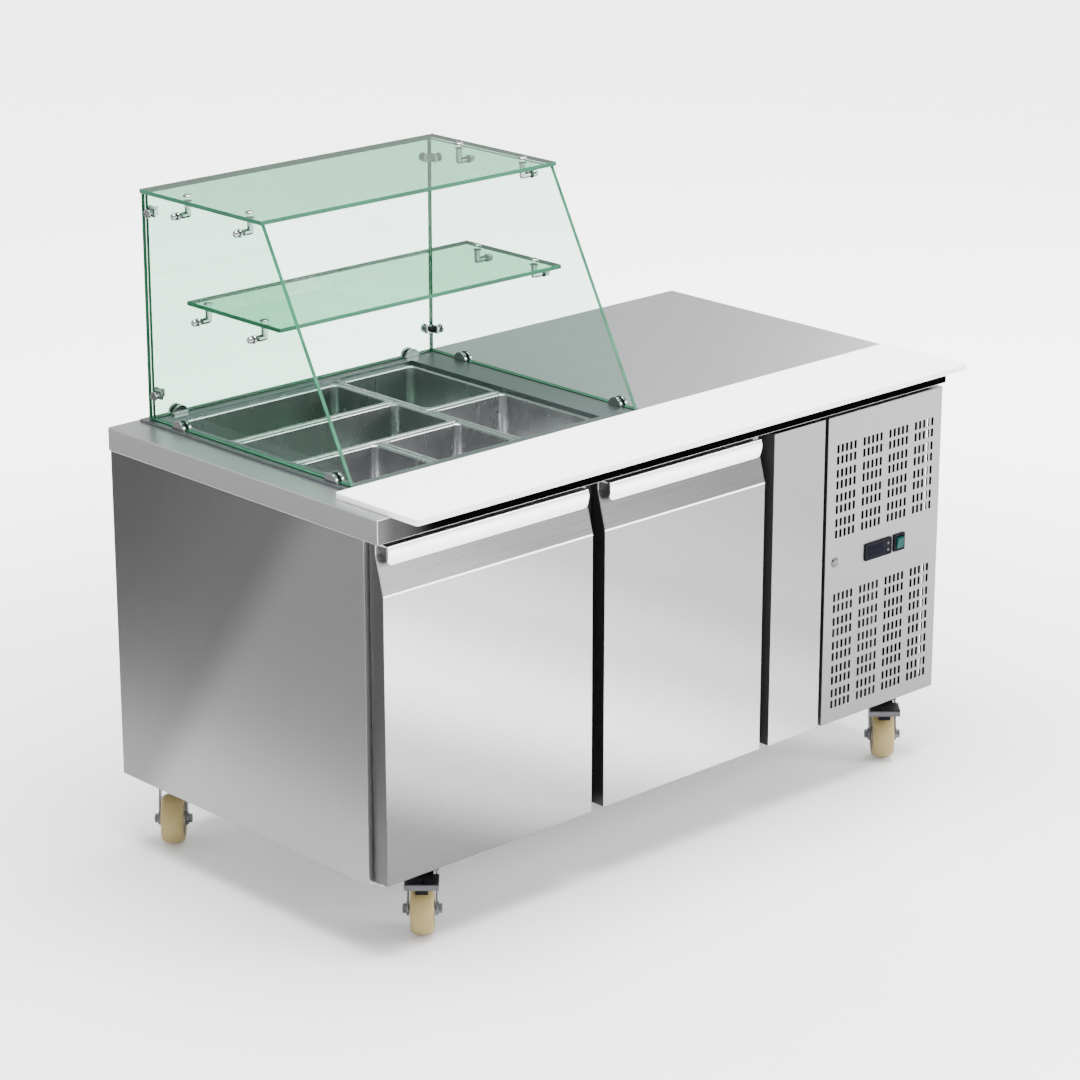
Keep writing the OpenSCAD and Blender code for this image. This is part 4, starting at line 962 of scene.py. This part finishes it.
# %% [markdown]
# ## Wheels
# A cream polyurethane tread is cast round a harder core. The tread is crowned, so that it
# rolls on its middle and turns on the spot without scrubbing.

# %% Tread and core
def wheel(name, place):
    centre = (TRAIL, 0, AXLE_Z)
    half = 22
    tread = [(36, -half + 1.5), (37.5, -half)]
    for i in range(17):
        share = -1 + 2 * i / 16
        tread.append((39 + 11 * math.sqrt(1 - (0.95 * share) ** 2), share * (half - 0.2)))
    tread += [(37.5, half), (36, half - 1.5), (36, -half + 1.5)]
    body, nodes = name + "_roller", [name + "_wheel"]
    piece = bmesh.new()
    add_turned(piece, tread, centre, (0, 1, 0), 72, place)
    finish(name + "_tread", piece, M["wheel_tread"], body, nodes, smooth=45)
    half_core = [(5.05, 24), (12, 24), (13, 23), (13, 15), (15, 13.4), (33, 13.4)]
    half_core += [(35, 15), (35.5, 20), (36.2, 20.4)]
    core = [(r, -along) for r, along in half_core] + half_core[::-1] + [(5.05, -24)]
    piece = bmesh.new()
    add_turned(piece, core, centre, (0, 1, 0), 56, place)
    finish(name + "_core", piece, M["wheel_core"], body, nodes, smooth=40)


# %% [markdown]
# ## Forks
# The fork is pressed from one thick blank: a domed crown with the ball race under the top
# plate, and two legs down to the axle bolt. Leg outlines are rounded by bevelling the
# upright edges of a thin prism.

# %% Crown, legs, kingpin and axle bolt
def fork(name, place, pedal):
    piece = bmesh.new()
    crown = [(0, 0), (25, 0), (27.4, 1), (28, 3), (27.4, 5.4), (24, 7.2), (18, 8), (6, 8), (6, 17), (0, 17)]
    add_turned(piece, crown, (0, 0, CROWN_Z), (0, 0, 1), 48, place)
    add_box(piece, (-21, -28, CROWN_Z), (21, 28, CROWN_Z + 4), 1.2, 3, 0, place)
    outline = [(-21, CROWN_Z + 2), (21, CROWN_Z + 2), (21, CROWN_Z - 12), (TRAIL + 14, 56)]
    for turn in (math.radians(degrees) for degrees in range(0, -181, -15)):
        outline.append((TRAIL + 14 * math.cos(turn), AXLE_Z + 14 * math.sin(turn)))
    outline += [(TRAIL - 15, 62), (-21, CROWN_Z - 16)]
    for y in (-28, 25):
        leg = prism(outline, y, y + 3, "y")
        through = [e for e in leg.edges if abs(e.verts[0].co.y - e.verts[1].co.y) > 1]
        soften(leg, [e for e in through if e.calc_face_angle() > 0.4], 3, 4, clamp=True)
        leg.normal_update()
        soften(leg, [e for e in leg.edges if e.calc_face_angle() > 1.0], 0.6, 2)
        merge(piece, leg, place)
    add_turned(piece, [(0, -28), (5, -28), (5, 28), (0, 28)], (TRAIL, 0, AXLE_Z), (0, 1, 0), 24, place)
    for side in (-1, 1):
        washer = [(5, 28), (12.5, 28), (12.5, 29.4), (12, 29.9), (0, 29.9)]
        add_turned(piece, washer, (TRAIL, 0, AXLE_Z), (0, side, 0), 32, place)
        hexagon = [(9 * math.cos(turn), 9 * math.sin(turn)) for turn in (math.tau * i / 6 for i in range(6))]
        head = prism(hexagon, 29.5, 37, "z")
        face = [e for e in head.edges if e.calc_face_angle() > 1.3 and all(v.co.z > 36 for v in e.verts)]
        soften(head, face, 1.6)
        turn = Matrix.Translation((TRAIL, 0, AXLE_Z)) @ Matrix.Rotation(math.radians(-90 * side), 4, "X")
        merge(piece, head, place @ turn)
    if pedal:
        pin = [(0, -30.5), (2.6, -30.5), (3, -30), (3, 30), (2.6, 30.5), (0, 30.5)]
        add_turned(piece, pin, (2, 0, 116), (0, 1, 0), 24, place)
    body, nodes = name + "_swivel", [name + "_fork"]
    finish(name + "_fork_pressed", piece, M["castor_zinc"], body, nodes, smooth=40)


# %% [markdown]
# ## Brake pedals
# The two front castors have a foot brake. A pressed plate turns on a pin in the fork; its
# wide end is turned down for the toe, and a rubber block hangs from it over the tread.

# %% Pedal plate and brake block
def brake(name, place):
    piece = bmesh.new()
    low_z, reach, heel = 114.5, TRAIL + 46, TRAIL - 3
    section = [(heel, low_z), (reach - 5, low_z), (reach - 3, low_z - 2), (reach - 3, low_z - 9.4)]
    section += [(reach - 1.5, low_z - 10), (reach, low_z - 9.4), (reach, low_z - 0.5)]
    section += [(reach - 1.2, low_z + 2), (reach - 4, low_z + 3), (heel, low_z + 3)]
    foot = prism(section, -32, 32, "y")
    soften(foot, [e for e in foot.edges if e.calc_face_angle() > 1.2], 0.9)
    merge(piece, foot, place)
    add_box(piece, (2, -21, low_z), (TRAIL, 21, low_z + 3), 0.7, 2, 0, place)
    eye = [(3.05, -21), (6, -21), (6, 21), (3.05, 21), (3.05, -21)]
    add_turned(piece, eye, (2, 0, 116), (0, 1, 0), 28, place)
    body, nodes = name + "_brake", [name + "_pedal"]
    finish(name + "_pedal_plate", piece, M["pedal_steel"], body, nodes, smooth=40)
    rubber = bmesh.new()
    add_box(rubber, (TRAIL + 32, -12, low_z - 20), (TRAIL + 42, 12, low_z + 0.4), 1.6, 3, 0, place)
    finish(name + "_brake_block", rubber, M["brake_rubber"], body, nodes)


for name, place in CASTORS.items():
    has_brake = name.startswith("front")
    wheel(name, place)
    fork(name, place, has_brake)
    if has_brake:
        brake(name, place)


# %% [markdown]
# ## Fans
# Both fans are moulded in one piece. Each blade is a small grid, curved across its width
# and twisted from root to tip, then thickened.


# %% Fan builder
def fan(node, origin, axis, tip, hub, shaft, blades=5):
    turn = Vector(axis).to_track_quat("Z", "Y").to_matrix().to_4x4()
    place = Matrix.Translation(origin) @ turn
    piece = bmesh.new()
    boss = [(0, 0), (hub - 5, 0), (hub - 1.5, 1.2), (hub, 4), (hub, 18), (4, 18), (4, 18 + shaft)]
    boss.append((0, 18 + shaft))
    add_turned(piece, boss, (0, 0, 0), (0, 0, 1), 40, place)
    for blade in range(blades):
        part = bmesh.new()
        bmesh.ops.create_grid(part, x_segments=6, y_segments=5, size=0.5)
        for v in part.verts:
            along, across = v.co.x + 0.5, v.co.y
            radius = hub - 2 + (tip - hub + 2) * along
            chord = (0.30 + 0.16 * along) * tip * (1 - 0.25 * max(0, along - 0.8) / 0.2)
            pitch = math.radians(34 - 12 * along)
            swept = across * chord * math.cos(pitch) / radius + 0.25 * along
            lift = across * chord * math.sin(pitch) * 0.55 + 1.5 * (1 - 4 * across ** 2)
            lift = max(-8.4, min(8.0, lift))
            v.co = Vector((radius * math.cos(swept), radius * math.sin(swept), 9 + lift))
        bmesh.ops.solidify(part, geom=part.faces[:], thickness=1.2)
        merge(piece, part, place @ Matrix.Rotation(math.tau * blade / blades, 4, "Z"))
    finish(node + "_moulded", piece, M["fan_plastic"], body_of_node(node), [node], smooth=50)


# %% Condenser and evaporator fans
low, high = span("condenser_fan")
middle = (low + high) / 2
fan("condenser_fan", (middle.x, low.y, middle.z), (0, 1, 0), tip=91, hub=26, shaft=28)
low, high = span("evaporator_fan")
middle = (low + high) / 2
fan("evaporator_fan", (low.x, middle.y, middle.z), (1, 0, 0), tip=72, hub=22, shaft=22)


# %% [markdown]
# ## Condensing unit
# Behind the grille stands the warm side of the refrigerator: thin aluminium fins pressed on
# copper tubes, a fan shroud and motor, and the welded black compressor further back.


# %% Coil, shroud and motor
coil_low, coil_high = span("condenser_coil")
x0, x1, z0, z1 = coil_low.x, coil_high.x, coil_low.z + 24, coil_high.z
fan_x, fan_z = (x0 + x1) / 2, (z0 + z1) / 2
fins = bmesh.new()
for i in range(46):
    x = x0 + 14 + (x1 - x0 - 28) * i / 45
    merge(fins, block((x - 0.35, coil_low.y + 1, z0 + 8), (x + 0.35, coil_low.y + 43, z1 - 8)))
for x in (x0 + 6, x1 - 6):
    add_box(fins, (x - 6, coil_low.y, coil_low.z), (x + 6, coil_low.y + 44, z1), 1)
finish("condenser_fins", fins, M["coil_aluminium"], "cabinet", ["condenser_coil"])
tubes = bmesh.new()
length = x1 - x0 - 2
for i in range(8):
    start = (x0 + 1, coil_low.y + 14 + 16 * (i % 2), z0 + 22 + (z1 - z0 - 44) * i / 7)
    add_turned(tubes, [(0, 0), (4, 0), (4, length), (0, length)], start, (1, 0, 0), 16)
finish("condenser_tubes", tubes, M["copper"], "cabinet", ["condenser_coil"])
shroud = bmesh.new()
ring_y = coil_low.y + 44
ring = [(100, 0), (104, 0), (104, 28), (105.5, 30), (101.5, 30), (100, 28), (100, 0)]
add_turned(shroud, ring, (fan_x, ring_y, fan_z), (0, 1, 0), 64)
merge(shroud, prism([(x0, z0), (x1, z0), (x1, z1), (x0, z1)], ring_y - 1, ring_y + 2, "y"))
motor_y = ring_y + 38
motor = [(4.1, 0), (30, 0), (34, 2), (36, 6), (36, 44), (33, 48.5), (26, 50), (0, 50)]
motor += [(0, 30), (4.1, 30), (4.1, 0)]
add_turned(shroud, motor, (fan_x, motor_y, fan_z), (0, 1, 0), 40)
for turn in (0, 120, 240):
    arm = Matrix.Translation((fan_x, motor_y + 10, fan_z)) @ Matrix.Rotation(math.radians(turn), 4, "Y")
    add_box(shroud, (20, -5, -6), (103, 5, 6), 1, 2, 0, arm)
    add_box(shroud, (96, -22, -6), (103, 5, 6), 1, 2, 0, arm)
finish("condenser_shroud", shroud, M["black_enamel"], "cabinet", ["condenser_coil"])

# %% Compressor
low, high = span("compressor")
can_x, can_y, base_z = low.x + 100, (low.y + high.y) / 2, low.z
shape = [(0, 14), (50, 14), (66, 19), (76, 28), (80, 42), (80, 82)]
shape += [(82.5, 84), (82.5, 90), (80, 92), (80, 140)]
for i in range(1, 9):
    turn = math.radians(90 * i / 8)
    shape.append((80 * math.cos(turn), 140 + 44 * math.sin(turn)))
can = bmesh.new()
add_turned(can, shape, (can_x, can_y, base_z), (0, 0, 1), 64)
add_box(can, (can_x - 100, can_y - 70, base_z), (can_x + 100, can_y + 70, base_z + 18), 2, 3, 12)
add_box(can, (can_x + 72, can_y - 28, base_z + 60), (can_x + 106, can_y + 28, base_z + 120), 5, 4)
finish("compressor_can", can, M["black_enamel"], "cabinet", ["compressor"])
pipes = bmesh.new()
for side in (-1, 1):
    foot = (can_x + side * 34, can_y - 30, base_z + 144)
    add_turned(pipes, [(0, 0), (5, 0), (5, 88), (3.5, 90), (0, 90)], foot, (0, 0, 1), 20)
finish("compressor_pipes", pipes, M["copper"], "cabinet", ["compressor"])


# %% [markdown]
# ## Wire shelves
# The shelves inside are welded wire dipped in plastic, so every wire ends in a round blob
# of coating and the cross wires sink a little into the long ones.


# %% Shelves
def wire_shelf(node):
    low, high = span(node)
    z = low.z + 3
    piece = bmesh.new()
    for x in (low.x + 3, (low.x + high.x) / 2, high.x - 3):
        length = high.y - low.y
        wire = [(0, 0), (2.2, 0.4), (3, 1.6), (3, length - 1.6), (2.2, length - 0.4), (0, length)]
        add_turned(piece, wire, (x, low.y, z), (0, 1, 0), 14)
    for i in range(15):
        y = low.y + 4 + (high.y - low.y - 8) * i / 14
        length = high.x - low.x - 2
        bar = [(0, 0), (1.5, 0.3), (2, 1.2), (2, length - 1.2), (1.5, length - 0.3), (0, length)]
        add_turned(piece, bar, (low.x + 1, y, z + 3), (1, 0, 0), 10)
    finish(node + "_coated", piece, M["wire_coating"], body_of_node(node), [node])


for node in ("left_wire_shelf", "right_wire_shelf"):
    wire_shelf(node)


# %% [markdown]
# ## Floor, light and camera
# A pale floor and a few large soft lights give the steel something broad to reflect. The
# floor's painted glow rises away from the cabinet, which leaves a painted shade around it. A dark
# card lies on the floor on the left and shows in reflections only, so that the cabinet's
# side mirrors something darker than its doors. The camera stands off the front left corner.


# %% Floor with a painted glow that fades to painted shade near the cabinet
floor_material = opaque("studio_floor", 0.0, (0.84, 0.84, 0.84), 0.6, 3, 0.01, 0.03, 0.0)
tree = floor_material.node_tree
where = tree.nodes.new("ShaderNodeTexCoord")
reach = tree.nodes.new("ShaderNodeVectorMath")
reach.operation = "LENGTH"
painted_glow = tree.nodes.new("ShaderNodeMapRange")
painted_glow.interpolation_type = "SMOOTHSTEP"
painted_glow.inputs["From Min"].default_value = 0.9
painted_glow.inputs["From Max"].default_value = 3.2
painted_glow.inputs["To Min"].default_value = 0.15
painted_glow.inputs["To Max"].default_value = 3.4
tree.links.new(where.outputs["Object"], reach.inputs[0])
tree.links.new(reach.outputs["Value"], painted_glow.inputs["Value"])
tree.links.new(painted_glow.outputs["Result"], tree.nodes["Principled BSDF"].inputs["Emission Strength"])
tree.nodes["Principled BSDF"].inputs["Emission Color"].default_value = (1, 1, 1, 1)
floor = bmesh.new()
bmesh.ops.create_grid(floor, x_segments=2, y_segments=2, size=60)
mesh = bpy.data.meshes.new("studio_floor")
floor.to_mesh(mesh)
floor.free()
mesh.materials.append(floor_material)
ground = bpy.data.objects.new("studio_floor", mesh)
ground.location.z = -0.0005
bpy.context.scene.collection.objects.link(ground)
ground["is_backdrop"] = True

# %% World and soft lights
world = bpy.data.worlds.new("studio")
bpy.context.scene.world = world
world.use_nodes = True
sky = world.node_tree.nodes["Background"]
sky.inputs["Color"].default_value = (0.97, 0.98, 1.0, 1)
sky.inputs["Strength"].default_value = 1.0


def soft_light(name, place, aim, size, power):
    data = bpy.data.lights.new(name, "AREA")
    data.shape = "RECTANGLE"
    data.size, data.size_y = size
    data.energy = power
    light = bpy.data.objects.new(name, data)
    light.location = place
    light.rotation_mode = "QUATERNION"
    light.rotation_quaternion = (Vector(aim) - Vector(place)).to_track_quat("-Z", "Y")
    bpy.context.scene.collection.objects.link(light)
    light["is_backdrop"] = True


soft_light("overhead", (-0.2, -0.4, 4.4), (0, 0, 0.5), (3.2, 2.6), 760)
soft_light("front_right", (3.6, -4.6, 3.0), (0.6, -0.6, 0.3), (2.4, 2.0), 260)
soft_light("back_right", (4.6, 1.5, 3.2), (0.5, 0.2, 0.6), (2.5, 2.2), 160)


# %% A dark card that only the steel's reflections see
def card(name, middle, half, shade):
    sheet = bmesh.new()
    bmesh.ops.create_grid(sheet, x_segments=1, y_segments=1, size=1)
    sheet.transform(Matrix.Translation((*middle, 0.002)) @ Matrix.Diagonal((*half, 1, 1)))
    mesh = bpy.data.meshes.new(name)
    sheet.to_mesh(mesh)
    sheet.free()
    mesh.materials.append(opaque(name, 0.0, (shade, shade, shade), 0.8, 3, 0.05, 0.03, 0.0))
    flag = bpy.data.objects.new(name, mesh)
    flag.visible_camera = flag.visible_diffuse = flag.visible_shadow = False
    bpy.context.scene.collection.objects.link(flag)
    flag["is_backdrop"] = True


card("dark_card", (-3.2, 2.2), (2.0, 3.4), 0.12)

# %% Camera
camera = bpy.data.cameras.new("camera")
camera.lens = 116.5
camera.sensor_width = 36
camera.clip_end = 200
eye = bpy.data.objects.new("camera", camera)
eye.location = at(-3733.5, -4425.5, 2739)
eye.rotation_euler = (math.radians(90 - 18.507), 0, math.radians(-43.205))
bpy.context.scene.collection.objects.link(eye)
bpy.context.scene.camera = eye

# %% [markdown]
# ## The model's size
# The finished model's box is printed.

# %% The model's box
low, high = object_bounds()
print("model", [round(v, 4) for v in low], [round(v, 4) for v in high])
